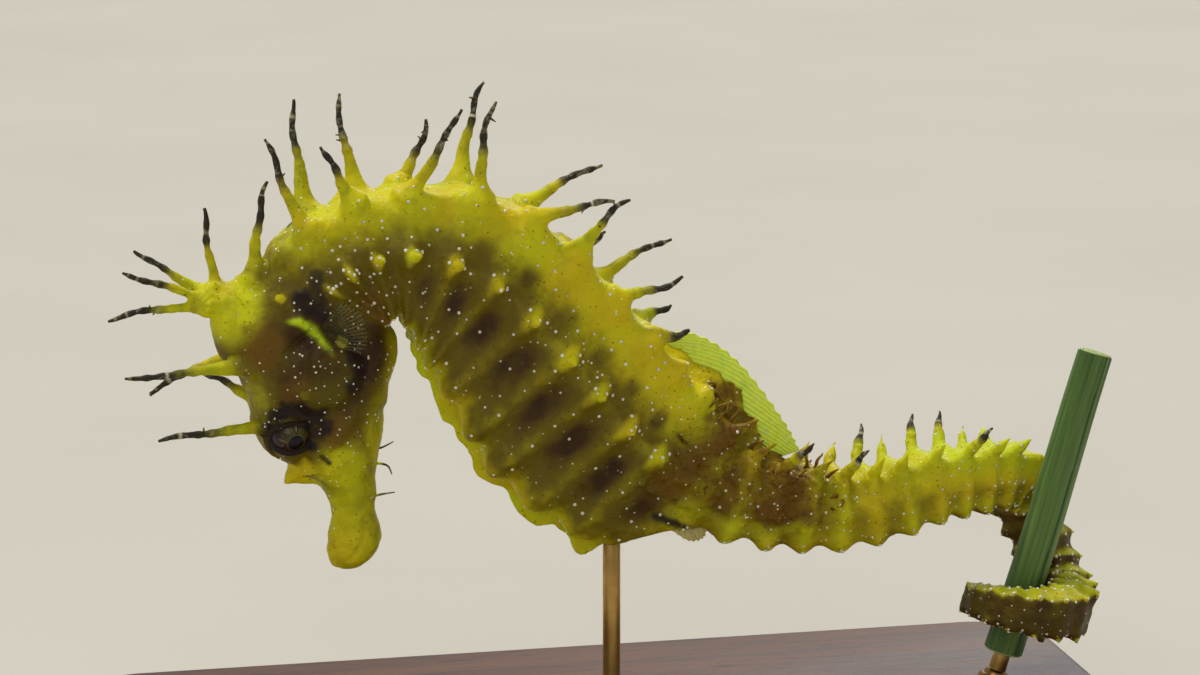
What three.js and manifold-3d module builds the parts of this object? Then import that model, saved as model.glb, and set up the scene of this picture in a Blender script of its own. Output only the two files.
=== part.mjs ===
// A life-size museum model of a long-snouted spiny seahorse, gripping a cut length of eelgrass with its tail.
//
// Millimetres, +Z up. The origin is the centre of the display stand's underside. The animal's head is at -X and
// its tail at +X; its left side faces -Y. Head, trunk and tail are one lofted body, parted with thin cuts.
import * as THREE from "three";
import { mergeVertices } from "three/addons/utils/BufferGeometryUtils.js";
import Module from "manifold-3d";

const wasm = await Module();
wasm.setup();

// ---------------------------------------------------------------- driving dimensions

const GAP = 0.3; // clear gap between two pieces that meet
const CAP_STEP = 0.7; // least distance from a cut face to the next section of the loft

// Each station of the body: where its centre lies on the midplane, and its reach towards the back,
// towards the belly and to each side.
const HEAD = [
  { x: -25.7, z: 23.0, back: 1.0, belly: 1.0, side: 0.8 }, // mouth
  { x: -25.7, z: 23.9, back: 2.0, belly: 1.8, side: 1.9 }, // lips
  { x: -25.1, z: 25.7, back: 2.6, belly: 2.5, side: 2.2 }, // jaw angle
  { x: -24.9, z: 27.3, back: 2.5, belly: 2.4, side: 2.0 }, // snout
  { x: -25.0, z: 28.8, back: 2.3, belly: 2.1, side: 1.9 }, // snout waist
  { x: -25.2, z: 30.2, back: 2.3, belly: 2.5, side: 2.1 }, // snout root
  { x: -25.6, z: 31.7, back: 2.5, belly: 2.9, side: 2.5 },
  { x: -26.1, z: 33.2, back: 3.1, belly: 3.7, side: 3.1 }, // nose
  { x: -26.7, z: 34.8, back: 4.4, belly: 4.9, side: 3.5 }, // lower rim of the eyes
  { x: -27.2, z: 36.4, back: 5.8, belly: 5.5, side: 3.8 },
  { x: -27.7, z: 38.0, back: 6.9, belly: 6.0, side: 4.1 }, // eyes
  { x: -28.0, z: 39.6, back: 7.3, belly: 6.6, side: 4.3 }, // brow
  { x: -28.3, z: 41.3, back: 6.9, belly: 7.3, side: 4.6 }, // cheek
  { x: -28.5, z: 43.0, back: 7.5, belly: 7.9, side: 4.9 }, // gill cover
  { x: -28.6, z: 44.7, back: 8.4, belly: 8.2, side: 5.0 },
  { x: -28.7, z: 46.4, back: 9.8, belly: 8.0, side: 4.9 }, // occiput
  { x: -28.6, z: 48.2, back: 10.2, belly: 7.5, side: 4.6 }, // under the crown
  { x: -28.2, z: 50.0, back: 9.2, belly: 7.2, side: 4.4 }, // nape
];
const TRUNK = [
  { x: -27.2, z: 51.9, back: 7.6, belly: 7.2, side: 4.3 }, // ring 1, the neck
  { x: -25.6, z: 53.6, back: 6.0, belly: 6.8, side: 4.4 },
  { x: -23.2, z: 54.8, back: 5.7, belly: 6.6, side: 4.6 },
  { x: -19.9, z: 55.3, back: 5.7, belly: 7.5, side: 4.8 },
  { x: -15.7, z: 54.4, back: 6.9, belly: 9.6, side: 5.0 },
  { x: -11.8, z: 52.2, back: 7.5, belly: 10.8, side: 5.3 },
  { x: -8.2, z: 48.8, back: 7.8, belly: 11.7, side: 5.5 },
  { x: -4.6, z: 44.7, back: 8.0, belly: 12.9, side: 5.6 },
  { x: -1.6, z: 41.0, back: 8.1, belly: 13.7, side: 5.6 },
  { x: 1.4, z: 37.3, back: 8.3, belly: 12.9, side: 5.3 },
  { x: 4.4, z: 34.2, back: 8.0, belly: 11.8, side: 4.9 }, // ring 11
  { x: 6.6, z: 32.2, back: 7.6, belly: 11.2, side: 4.6 }, // the vent
];
const TRUNK_RINGS = 11;
// The free part of the tail: its centre, and how far it has swung back towards the perch.
const TAIL = [
  { x: 9.6, y: 0, z: 30.0 },
  { x: 14.1, y: 0, z: 28.1 },
  { x: 18.8, y: 0, z: 27.0 },
  { x: 24.1, y: 0, z: 26.3 },
  { x: 29.4, y: 0.1, z: 26.7 },
  { x: 34.9, y: 0.7, z: 27.9 },
  { x: 40.0, y: 2.4, z: 28.0 },
];
const TAIL_RINGS = 37;
const TAIL_RADIUS = 4.5; // half the tail's depth at its root
const TAIL_WIDTH = { root: 0.86, grip: 1.12 }; // the tail's width over its depth
const WIDENS = { before: 2, after: 7 }; // stations before and after the grip's start between these widths
const TAIL_TAPER = { whole: 0.68, tip: 0.24, tipFrom: 0.72 }; // shares of the root's depth lost
const TAIL_ROOT = { back: 2.4, belly: 1.1, side: 1.5 }; // stations over which the trunk narrows to the tail
const FIRST_TAIL_RING = 4.15; // length of the tail's first ring
const RING_RATIO = 0.966; // each tail ring's length over the one before it
const TAIL_END = 0.5; // least length left behind the last ring

// The ridges of bone under the skin: where each runs, in degrees from the back, and how wide it is.
const RIDGES = {
  upper: { angle: 40, width: 15 },
  flank: { angle: 90, width: 13 },
  lower: { angle: 140, width: 15 },
  keel: { angle: 180, width: 12 },
};
// How far the ridges stand out, as shares of the section's reach; the ring shares come and go with each ring.
const SWELL = {
  trunk: { upper: 0.22, flank: 0.12, lower: 0.14, ring: 0.02, flankKnob: 0.04, lowerKnob: 0.03 },
  tail: { ridge: 0.22, ring: 0.045, knob: 0.07 },
};

// Where a section is sampled, in degrees from the back: the head is round, the rest has ridges.
const HEAD_ANGLES = [0, 20, 40, 64, 90, 116, 140, 160, 180];
const RIDGED_ANGLES = [0, 40, 65, 90, 115, 140, 180];

// The perch: a cut shoot of eelgrass that leans over to +X.
const STEM = { x: 44.7, z: 15.3, lean: 16.5, radius: 2.05, below: -5.6, above: 27 };
// The grip, by angle round the stem: the tail drops by rise behind the stem, then falls slowly as it goes round.
const COIL = { from: 60, to: 560, step: 20, rise: 9.4, dropFrom: 46, dropTo: 172, fall: 0.012, levelAt: 270 };
const GRIP = { clear: 0.35, first: 3.3, last: 1.1 }; // gap to the stem, and the tail's half depth at both ends
const TWIST = { from: 40, to: 150 }; // coil angles over which the back turns to face out from the stem

const EYE_RADIUS = 2.0;
const EYE = { x: -31.6, z: 37.6, y: 2.9 };
const TURRET_RADIUS = 2.7;
const TURRET_SUNK = 0.9; // how much nearer the midplane the turret's centre is than the eye's

const BASE = { length: 108, width: 44, height: 7, corner: 9, bevel: 1 };
const ROD_RADIUS = 0.9;
const ROD_SIDES = 12;
const TRUNK_ROD = { x: 1.2, top: 28.0 };
const ROD_SEAT = 3; // how deep a rod goes into the base
const PERCH_SEAT = 3; // how deep its rod goes into the shoot

const COLOURS = {
  skin: { color: 0x8f8a16, roughness: 0.45, metalness: 0 },
  fin: { color: 0x9db526, roughness: 0.35, metalness: 0 },
  eye: { color: 0x1a120c, roughness: 0.08, metalness: 0 },
  eelgrass: { color: 0x3f7a2a, roughness: 0.5, metalness: 0 },
  wood: { color: 0x3a2418, roughness: 0.4, metalness: 0 },
  brass: { color: 0xb08d4a, roughness: 0.3, metalness: 1 },
};

// ---------------------------------------------------------------- the body's centre line

const radians = THREE.MathUtils.degToRad;
const smooth = THREE.MathUtils.smoothstep;
const stemAxis = new THREE.Vector3(Math.sin(radians(STEM.lean)), 0, Math.cos(radians(STEM.lean)));
const stemRight = new THREE.Vector3(Math.cos(radians(STEM.lean)), 0, -Math.sin(radians(STEM.lean)));
const stemFoot = new THREE.Vector3(STEM.x, 0, STEM.z);

// Direction out of the stem's axis at an angle of the coil: 0 is the stem's left, 90 its far side.
function outOfStem(angle) {
  const a = radians(angle);
  return stemRight.clone().multiplyScalar(-Math.cos(a)).add(new THREE.Vector3(0, Math.sin(a), 0));
}

// How far along the stem the tail lies: it drops behind the stem, then goes round it nearly level.
function coilHeight(angle) {
  const drop = 1 - smooth(angle, COIL.dropFrom, COIL.dropTo);
  return COIL.rise * drop - COIL.fall * (angle - COIL.levelAt);
}

function coilRadius(angle) {
  const turned = (angle - COIL.from) / (COIL.to - COIL.from);
  return STEM.radius + GRIP.clear + THREE.MathUtils.lerp(GRIP.first, GRIP.last, turned);
}

function coilPoint(angle) {
  return stemFoot
    .clone()
    .addScaledVector(stemAxis, coilHeight(angle))
    .addScaledVector(outOfStem(angle), coilRadius(angle));
}

const coilAngles = [];
for (let a = COIL.from; a <= COIL.to; a += COIL.step) coilAngles.push(a);

const linePoints = [
  ...[...HEAD, ...TRUNK].map((p) => new THREE.Vector3(p.x, 0, p.z)),
  ...TAIL.map((p) => new THREE.Vector3(p.x, p.y, p.z)),
  ...coilAngles.map(coilPoint),
];
const curveThrough = (points) => new THREE.CatmullRomCurve3(points, false, "catmullrom", 0.5);
const LINE_STEPS = 3000;
const line = curveThrough(linePoints);
line.arcLengthDivisions = LINE_STEPS;
const sizes = curveThrough([...HEAD, ...TRUNK].map((p) => new THREE.Vector3(p.back, p.belly, p.side)));
const lastPoint = linePoints.length - 1;
const vent = HEAD.length + TRUNK.length - 1; // the station where the tail begins
const lengths = line.getLengths(LINE_STEPS);
const lengthAt = (station) => lengths[Math.round((station / lastPoint) * LINE_STEPS)];
const stationAt = (length) => line.getUtoTmapping(0, length) * lastPoint;
const ventLength = lengthAt(vent);
const tailLength = line.getLength() - ventLength;

// The station of each ring's middle: one for each ring of the trunk, then the tail's shrinking rings.
const ringStations = Array.from({ length: TRUNK_RINGS }, (_, i) => HEAD.length + i);
for (let i = 0, at = ventLength; i < TAIL_RINGS; i++) {
  at += FIRST_TAIL_RING * RING_RATIO ** i;
  if (at < ventLength + tailLength - TAIL_END) ringStations.push(stationAt(at));
}

const coilStart = vent + TAIL.length + 1; // the station where the grip begins
const coilAngleOf = (station) => COIL.from + (station - coilStart) * COIL.step;

// Where a station is, which way the body runs there, and which way its back and left side face.
function frameAt(station) {
  const t = THREE.MathUtils.clamp(station / lastPoint, 0, 1);
  const centre = line.getPoint(t);
  const along = line.getTangent(t);
  const back = new THREE.Vector3(-along.z, 0, along.x).normalize();
  const angle = coilAngleOf(station);
  const twist = smooth(angle, TWIST.from, TWIST.to);
  if (twist > 0) back.lerp(outOfStem(angle), twist);
  back.addScaledVector(along, -back.dot(along)).normalize();
  return { centre, along, back, left: along.clone().cross(back) };
}

// The body's reach towards the back, the belly and each side.
function reachAt(station) {
  const body = sizes.getPoint(THREE.MathUtils.clamp(station / vent, 0, 1));
  if (station <= vent) return { back: body.x, belly: body.y, side: body.z };
  const along = (lengthAt(station) - ventLength) / tailLength;
  const lost = TAIL_TAPER.whole * along + TAIL_TAPER.tip * smooth(along, TAIL_TAPER.tipFrom, 1);
  const half = TAIL_RADIUS * (1 - lost);
  const widened = smooth(station, coilStart - WIDENS.before, coilStart + WIDENS.after);
  const width = THREE.MathUtils.lerp(TAIL_WIDTH.root, TAIL_WIDTH.grip, widened);
  const narrow = (trunk, tail, over) => THREE.MathUtils.lerp(trunk, tail, smooth(station, vent, vent + over));
  return {
    back: narrow(body.x, half, TAIL_ROOT.back),
    belly: narrow(body.y, half, TAIL_ROOT.belly),
    side: narrow(body.z, width * half, TAIL_ROOT.side),
  };
}

// ---------------------------------------------------------------- sections and lofts

// How near an angle is to a ridge: 1 on its crest.
const onRidge = (angle, ridge) => Math.exp(-(((angle - ridge.angle) / ridge.width) ** 2));

// 1 in the middle of a ring, -1 halfway to the next one.
function ringWave(station) {
  if (station < ringStations[0] - 0.5) return 0;
  let i = ringStations.findIndex((r) => r > station);
  if (i < 1) i = i === 0 ? 1 : ringStations.length - 1;
  const share = (station - ringStations[i - 1]) / (ringStations[i] - ringStations[i - 1]);
  return Math.cos(2 * Math.PI * share);
}

// A point of the skin: angle 0 is the back, 90 the left side, 180 the belly.
function skinOffset(station, angle) {
  const { back, belly, side } = reachAt(station);
  const a = Math.abs(angle);
  const onTrunk = smooth(station, HEAD.length - 2, HEAD.length + 1) * (1 - smooth(station, vent - 1, vent + 2));
  const onTail = smooth(station, vent - 1, vent + 2);
  const wave = ringWave(station);
  const [upper, flank, lower] = Object.values(RIDGES).map((ridge) => onRidge(a, ridge));
  const { trunk, tail } = SWELL;
  const trunkRidges = trunk.upper * upper + trunk.flank * flank + trunk.lower * lower;
  const trunkKnobs = trunk.flankKnob * flank + trunk.lowerKnob * lower;
  let swell = 1 + onTrunk * trunkRidges + onTail * tail.ridge * (upper + lower);
  swell *= 1 + wave * (trunk.ring * onTrunk + tail.ring * onTail);
  swell += wave * (onTrunk * trunkKnobs + onTail * tail.knob * (upper + lower));
  const reach = a < 90 ? back : belly;
  const rad = radians(angle);
  return { back: reach * Math.cos(rad) * swell, left: side * Math.sin(rad) * swell };
}

// A closed cylinder whose vertices are moved onto rings of points, all of one length: a loft with flat ends.
function loftOf(rings) {
  const count = rings[0].length;
  const geometry = new THREE.CylinderGeometry(1, 1, 1, count, rings.length - 1);
  const position = geometry.getAttribute("position");
  for (let i = 0; i < position.count; i++) {
    const [x, y, z] = [position.getX(i), position.getY(i), position.getZ(i)];
    const ring = rings[Math.round((0.5 - y) * (rings.length - 1))];
    const place = Math.round((Math.atan2(x, z) / (2 * Math.PI)) * count);
    const onAxis = Math.hypot(x, z) < 0.5;
    const p = onAxis ? middleOf(ring) : ring[(place + count) % count];
    position.setXYZ(i, p.x, p.y, p.z);
  }
  return geometry;
}

function middleOf(points) {
  return points.reduce((sum, p) => sum.add(p), new THREE.Vector3()).divideScalar(points.length);
}

// A geometry as a manifold solid, turned the right way out.
function solidOf(geometry) {
  const bare = geometry.clone();
  for (const name of ["normal", "uv"]) bare.deleteAttribute(name);
  const merged = mergeVertices(bare, 1e-4);
  const make = (triVerts) =>
    new wasm.Manifold(new wasm.Mesh({ numProp: 3, vertProperties: merged.attributes.position.array, triVerts }));
  const triangles = new Uint32Array(merged.index.array);
  const made = make(triangles);
  return made.volume() > 0 ? made : make(triangles.reverse());
}

function geometryOf(solid) {
  const mesh = solid.getMesh();
  const geometry = new THREE.BufferGeometry();
  geometry.setAttribute("position", new THREE.BufferAttribute(new Float32Array(mesh.vertProperties), 3));
  geometry.setIndex(new THREE.BufferAttribute(new Uint32Array(mesh.triVerts), 1));
  return geometry;
}

const bothSides = (angles) => [...angles, ...angles.slice(1, -1).reverse().map((a) => -a)];

// The skin's outline at a station, drawn in a given frame.
function skinRing(station, frame, angles) {
  return bothSides(angles).map((angle) => {
    const offset = skinOffset(station, angle);
    return frame.centre.clone().addScaledVector(frame.back, offset.back).addScaledVector(frame.left, offset.left);
  });
}

// A length of the body between two stations. A cut end is flat, and stands half a gap back from its station.
function bodyLength(from, to, stations, angles = RIDGED_ANGLES) {
  const rings = [];
  const cut = (station, shift) => {
    const frame = frameAt(station);
    frame.centre.addScaledVector(frame.along, shift);
    rings.push(skinRing(station, frame, angles));
  };
  cut(from, from === 0 ? 0 : GAP / 2);
  const low = lengthAt(from) + CAP_STEP;
  const high = lengthAt(to) - CAP_STEP;
  for (const s of stations) {
    if (lengthAt(s) > low && lengthAt(s) < high) rings.push(skinRing(s, frameAt(s), angles));
  }
  cut(to, to >= lastPoint ? 0 : -GAP / 2);
  return solidOf(loftOf(rings));
}

// ---------------------------------------------------------------- spines and skin threads

const THREAD = { thin: 0.28, quick: 2.6, bend: 0, steps: 4, sides: 5 }; // a broad foot that runs out in a thread
const SPINE = { thin: 0.3, quick: 1, bend: 0, steps: 1, sides: 3 }; // a plain short cone

// A tapering tube from root to tip. Its middle stands off the chord by bend times the chord's length, and its
// radius falls from thick to thin, sooner where quick is large.
function horn(root, tip, { thick, thin, bend, steps, quick, sides }) {
  const chord = tip.clone().sub(root);
  const across = new THREE.Vector3(-chord.z, 0, chord.x).multiplyScalar(bend);
  const middle = root.clone().add(tip).multiplyScalar(0.5).add(across);
  const path = new THREE.QuadraticBezierCurve3(root, middle, tip);
  const rings = [];
  for (let i = 0; i <= steps; i++) {
    const share = i / steps;
    const centre = path.getPoint(share);
    const along = path.getTangent(share);
    const u = new THREE.Vector3(0, 1, 0).addScaledVector(along, -along.y).normalize();
    const v = along.clone().cross(u);
    const radius = thin + (thick - thin) * (1 - share) ** quick;
    rings.push(
      Array.from({ length: sides }, (_, k) => {
        const a = (2 * Math.PI * k) / sides;
        return centre.clone().addScaledVector(u, radius * Math.cos(a)).addScaledVector(v, radius * Math.sin(a));
      }),
    );
  }
  return solidOf(loftOf(rings));
}

// A point on the skin, sunk a little below it, and the way out from the body there.
function onSkin(station, angle, sink) {
  const frame = frameAt(station);
  const offset = skinOffset(station, angle);
  const out = new THREE.Vector3().addScaledVector(frame.back, offset.back).addScaledVector(frame.left, offset.left);
  const reach = out.length();
  out.normalize();
  return { point: frame.centre.clone().addScaledVector(out, reach - sink), out, frame };
}

// A direction in the midplane, from +X towards +Z, leaning out to one side.
function heading(angle, outwards) {
  const a = radians(angle);
  return new THREE.Vector3(Math.cos(a), outwards, Math.sin(a)).normalize();
}

// The long threads on the back of the neck and trunk, on the left and right of each ring, as [heading, length,
// bend, how far behind the ring the root is, its angle round the body where that isn't the usual one].
const BACK_THREADS = [
  { ring: 0, left: [92, 7.9, 0.12, -0.45, 20], right: [65, 2.4, 0, 0.1] },
  { ring: 1, left: [113, 9.7, 0.06, -0.2], right: [96, 10.4, 0.03, 0] },
  { ring: 2, left: [118, 6.1, 0.04, 0], right: [100, 9.7, 0.05, 0.25] },
  { ring: 3, left: [59, 9.9, -0.1, -0.15], right: [62, 6.6, -0.12, -0.1] },
  { ring: 4, left: [84, 9.3, 0.08, 0.15], right: [75, 9.5, 0.1, 0] },
  { ring: 5, left: [12, 7.8, 0.06, -0.1], right: [26, 8.7, 0.04, 0] },
  { ring: 6, left: [50, 6.8, 0.14, -0.05], right: [8, 4.6, -0.2, -0.2] },
  { ring: 7, left: [15, 6.6, -0.08, -0.2], right: [26, 8.6, 0.05, -0.25] },
  { ring: 8, left: [8, 2.8, 0, 0], right: [22, 3.2, 0, 0] },
];
const THREAD_ROOT = { angle: 38, sink: 1.0, thick: 1.45 };
const THREAD_SPREAD = 0.16; // how far the threads of a pair lean apart

function backThreads(from, to) {
  const made = [];
  for (const thread of BACK_THREADS) {
    const station = HEAD.length + thread.ring;
    if (station <= from || station >= to) continue;
    for (const [side, [angle, length, bend, behind, around]] of [[1, thread.left], [-1, thread.right]]) {
      const { point } = onSkin(station + behind, side * (around ?? THREAD_ROOT.angle), THREAD_ROOT.sink);
      const tip = point.clone().addScaledVector(heading(angle, -side * THREAD_SPREAD), length + THREAD_ROOT.sink);
      made.push(horn(point, tip, { ...THREAD, thick: THREAD_ROOT.thick, bend }));
    }
  }
  return made;
}

// Short blunt spines along a pair of ridges, one on each ring, swept towards the tail. Their length is a
// function of the station, and where it is 0 there is none.
function ridgeSpines(from, to, { angle, reach: reachOf, sweep, thick, sink }) {
  const made = [];
  for (const station of ringStations) {
    const reach = reachOf(station);
    if (station <= from || station >= to || reach <= 0) continue;
    for (const side of [1, -1]) {
      const { point, out, frame } = onSkin(station, side * angle, sink);
      const tip = point.clone().addScaledVector(out, reach).addScaledVector(frame.along, sweep * reach);
      made.push(horn(point, tip, { ...SPINE, thick }));
    }
  }
  return made;
}

// The keel's flaps: flat teeth on the rings of the belly, as [reach, how far behind the ring the tooth is].
const KEEL_FLAPS = [
  [0, 0],
  [0, 0],
  [0, 0],
  [0.5, 0.1],
  [0.8, 0.1],
  [1.0, 0.5],
  [1.3, 0.6],
  [0, 0],
  [1.0, 0.4],
  [1.7, 0.5],
  [1.6, 0.85],
];

// A flap's outline, as [stations from its ring, height as a share of its reach]; its two feet are sunk.
const FLAP_TOP = [
  [-0.1, 0.6],
  [0.1, 1],
];
const FLAP_FEET = { front: -0.45, rear: 0.26, sink: 0.9 };
const FLAP_HALF = 0.4; // half its thickness

function keelFlaps(from, to) {
  const made = [];
  KEEL_FLAPS.forEach(([reach, sweep], i) => {
    const station = HEAD.length + i + sweep;
    if (!reach || station <= from || station >= to) return;
    const corner = (s, height) => onSkin(station + s, RIDGES.keel.angle, -height).point;
    const top = FLAP_TOP.map(([s, share]) => corner(s, share * reach));
    const outline = [corner(FLAP_FEET.front, -FLAP_FEET.sink), ...top, corner(FLAP_FEET.rear, -FLAP_FEET.sink)];
    const face = (y) => outline.map((p) => p.clone().add(new THREE.Vector3(0, y, 0)));
    made.push(solidOf(loftOf([face(-FLAP_HALF), face(FLAP_HALF)])));
  });
  return made;
}

const joined = (solid, pieces) => pieces.reduce((all, piece) => all.add(piece), solid);

// ---------------------------------------------------------------- head

// Threads of the crown, the brow and the nape, from their root to their tip, on the midplane or to one side.
const HEAD_THREADS = [
  { root: [-34.6, -2.0, 44.6], tip: [-47.6, -4.2, 44.2], bend: 0.02, thick: 1.5 },
  { root: [-35.0, 2.0, 44.8], tip: [-44.6, 4.0, 40.6], bend: -0.12, thick: 1.5 },
  { root: [-32.6, -2.4, 38.4], tip: [-44.5, -3.4, 37.7], bend: -0.02, thick: 1.6 },
  { root: [-33.4, 1.6, 39.4], tip: [-39.4, 3.0, 42.9], bend: -0.05, thick: 1.4 },
];
const CROWN_THREADS = [
  { root: [-38.6, 0.6, 51.0], tip: [-45.9, 1.4, 55.7], bend: 0.05 },
  { root: [-39.0, -0.6, 50.6], tip: [-47.4, -1.6, 53.9], bend: -0.05 },
  { root: [-38.9, -0.5, 50.2], tip: [-48.9, -2.2, 49.6], bend: -0.09 },
  { root: [-38.2, 0.2, 51.0], tip: [-39.2, 0.6, 59.7], bend: 0.06 },
];
const CROWN_THREAD_THICK = 1.0;
const CROWN = { root: [-35.4, 0, 49.8], tip: [-40.0, 0, 51.5] };
const CROWN_SHAPE = { thick: 3.0, thin: 1.5, quick: 1.6, bend: 0, steps: 3, sides: 7 };
const CROWN_CUT = 3.5; // how far up its axis the crown is parted from the head
const NOSE_SPINE = { root: [-28.8, 0, 34.8], tip: [-32.1, 0, 31.0] };
const NOSE_SPINE_SHAPE = { thick: 1.8, thin: 0.35, quick: 1, bend: 0, steps: 2, sides: 5 };

const vector = (v) => new THREE.Vector3(...v);
const BALL_FACES = { wide: 12, high: 8 };
const SNOUT_STEP = 0.75; // stations from one section of the snout to the next
const FAR = 300; // more than the whole model's length

function ball(centre, radius) {
  const geometry = new THREE.SphereGeometry(radius, BALL_FACES.wide, BALL_FACES.high);
  geometry.translate(...centre);
  return solidOf(geometry);
}

const eyeCentre = (side, sunk = 0) => [EYE.x, -side * (EYE.y - sunk), EYE.z];

const hornOf = ({ root, tip }, shape) => horn(vector(root), vector(tip), shape);
const headThreads = () => HEAD_THREADS.map((t) => hornOf(t, { ...THREAD, bend: t.bend, thick: t.thick }));
const crownThreads = () =>
  CROWN_THREADS.map((t) => hornOf(t, { ...THREAD, bend: t.bend, thick: CROWN_THREAD_THICK }));

// The crown and its threads, kept on one side of the cut across its axis.
function crownSide(side) {
  const root = vector(CROWN.root);
  const axis = vector(CROWN.tip).sub(root).normalize();
  const whole = joined(hornOf(CROWN, CROWN_SHAPE), side > 0 ? crownThreads() : []);
  return whole.intersect(halfSpace(root.addScaledVector(axis, CROWN_CUT), axis, side));
}

function headSolid(from, to) {
  let solid = bodyLength(from, to, evenStations(from, to, 1), HEAD_ANGLES).add(crownSide(-1));
  for (const side of [1, -1]) solid = solid.add(ball(eyeCentre(side, TURRET_SUNK), TURRET_RADIUS));
  solid = joined(solid, [hornOf(NOSE_SPINE, NOSE_SPINE_SHAPE), ...headThreads()]);
  for (const side of [1, -1]) solid = solid.subtract(ball(eyeCentre(side), EYE_RADIUS + GAP));
  return solid;
}

function evenStations(from, to, step) {
  const list = [];
  for (let s = Math.ceil(from / step) * step; s < to; s += step) list.push(s);
  return list;
}

// All of space on one side of a plane, less half a gap.
function halfSpace(point, normal, side) {
  const geometry = new THREE.BoxGeometry(FAR, FAR, FAR);
  geometry.translate(side * (FAR / 2 + GAP / 2), 0, 0);
  geometry.applyQuaternion(new THREE.Quaternion().setFromUnitVectors(new THREE.Vector3(1, 0, 0), normal));
  geometry.translate(point.x, point.y, point.z);
  return solidOf(geometry);
}

// ---------------------------------------------------------------- fins

const DORSAL_FIN = {
  root: [[4.2, 43.6], [12.0, 34.0]], // on the midline of the back, front to rear
  rim: [[5.0, 45.7], [9.4, 45.5], [12.0, 44.2], [14.3, 42.2], [16.4, 39.7], [18.6, 36.9], [20.4, 34.6], [17.0, 33.4]],
  half: 0.3,
};
const ANAL_FIN = { root: [[6.6, 26.4], [9.6, 27.4]], rim: [[7.3, 23.4], [9.4, 22.6], [11.2, 24.6]], half: 0.3 };
const PECTORAL = { x: -29.3, y: 4.8, z: 47.2, root: 1.2, radius: 5.6, from: -14, to: 60, splay: 24, half: 0.28 };
const PECTORAL_RIM = { steps: 8, fall: 0.12 }; // the fan's rim, and the share of its radius lost at both ends
const SLOT = { flat: 1.5, turn: 8 }; // how a slot grows beyond its fin: times the gap, and degrees for each mm

// A flat fin on the midplane, thickened by grow on every side when it is used to cut its own slot.
function flatFin(fin, grow = 0) {
  const outline = [fin.root[0], ...fin.rim, fin.root[1]].map((p) => new THREE.Vector2(...p));
  const middle = outline.reduce((sum, p) => sum.add(p), new THREE.Vector2()).divideScalar(outline.length);
  const grown = outline.map((p) => p.clone().addScaledVector(p.clone().sub(middle).normalize(), grow * SLOT.flat));
  const depth = 2 * (fin.half + grow);
  const geometry = new THREE.ExtrudeGeometry(new THREE.Shape(grown), { depth, bevelEnabled: false });
  geometry.rotateX(Math.PI / 2);
  geometry.translate(0, depth / 2, 0);
  return solidOf(geometry);
}

// A pectoral fin: a fan that stands off the neck behind the gill cover.
function pectoralFin(side, grow = 0) {
  const { radius, root } = PECTORAL;
  const from = PECTORAL.from - grow * SLOT.turn;
  const to = PECTORAL.to + grow * SLOT.turn;
  const shape = new THREE.Shape();
  const at = (r, angle) => [r * Math.cos(radians(angle)), r * Math.sin(radians(angle))];
  shape.moveTo(...at(root - grow, from));
  for (let i = 0; i <= PECTORAL_RIM.steps; i++) {
    const share = i / PECTORAL_RIM.steps;
    const reach = radius * (1 - PECTORAL_RIM.fall * (2 * share - 1) ** 2) + grow;
    shape.lineTo(...at(reach, THREE.MathUtils.lerp(from, to, share)));
  }
  shape.lineTo(...at(root - grow, to));
  const depth = 2 * (PECTORAL.half + grow);
  const geometry = new THREE.ExtrudeGeometry(shape, { depth, bevelEnabled: false });
  geometry.translate(0, 0, -depth / 2);
  geometry.rotateX(Math.PI / 2);
  geometry.rotateZ(-side * radians(PECTORAL.splay));
  geometry.translate(PECTORAL.x, -side * PECTORAL.y, PECTORAL.z);
  return solidOf(geometry);
}

// ---------------------------------------------------------------- perch and stand

// The shoot's sections: height from its foot, and its half width and half depth as shares of its radius.
const SHOOT = [
  { at: STEM.below, wide: 1, deep: 0.9 },
  { at: 2, wide: 0.98, deep: 0.82 },
  { at: 10, wide: 0.96, deep: 0.74 },
  { at: 19, wide: 0.94, deep: 0.66 },
  { at: STEM.above, wide: 0.92, deep: 0.58 },
];
const SHOOT_SIDES = 12;

// The eelgrass shoot: an oval sheath, cut square across both ends.
function perchSolid() {
  const oval = ({ at, wide, deep }) => {
    const centre = stemFoot.clone().addScaledVector(stemAxis, at);
    return Array.from({ length: SHOOT_SIDES }, (_, i) => {
      const a = (2 * Math.PI * i) / SHOOT_SIDES;
      const p = centre.clone().addScaledVector(stemRight, STEM.radius * wide * Math.cos(a));
      return p.add(new THREE.Vector3(0, STEM.radius * deep * Math.sin(a), 0));
    });
  };
  return solidOf(loftOf(SHOOT.map(oval)));
}

// A rod from one point to another; grow widens it and lengthens its top end, to bore its socket.
function rod(from, to, grow = 0) {
  const along = to.clone().sub(from);
  const length = along.length() + grow;
  const geometry = new THREE.CylinderGeometry(ROD_RADIUS + grow, ROD_RADIUS + grow, length, ROD_SIDES);
  geometry.translate(0, length / 2, 0);
  geometry.applyQuaternion(new THREE.Quaternion().setFromUnitVectors(new THREE.Vector3(0, 1, 0), along.normalize()));
  geometry.translate(from.x, from.y, from.z);
  return solidOf(geometry);
}

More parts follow.
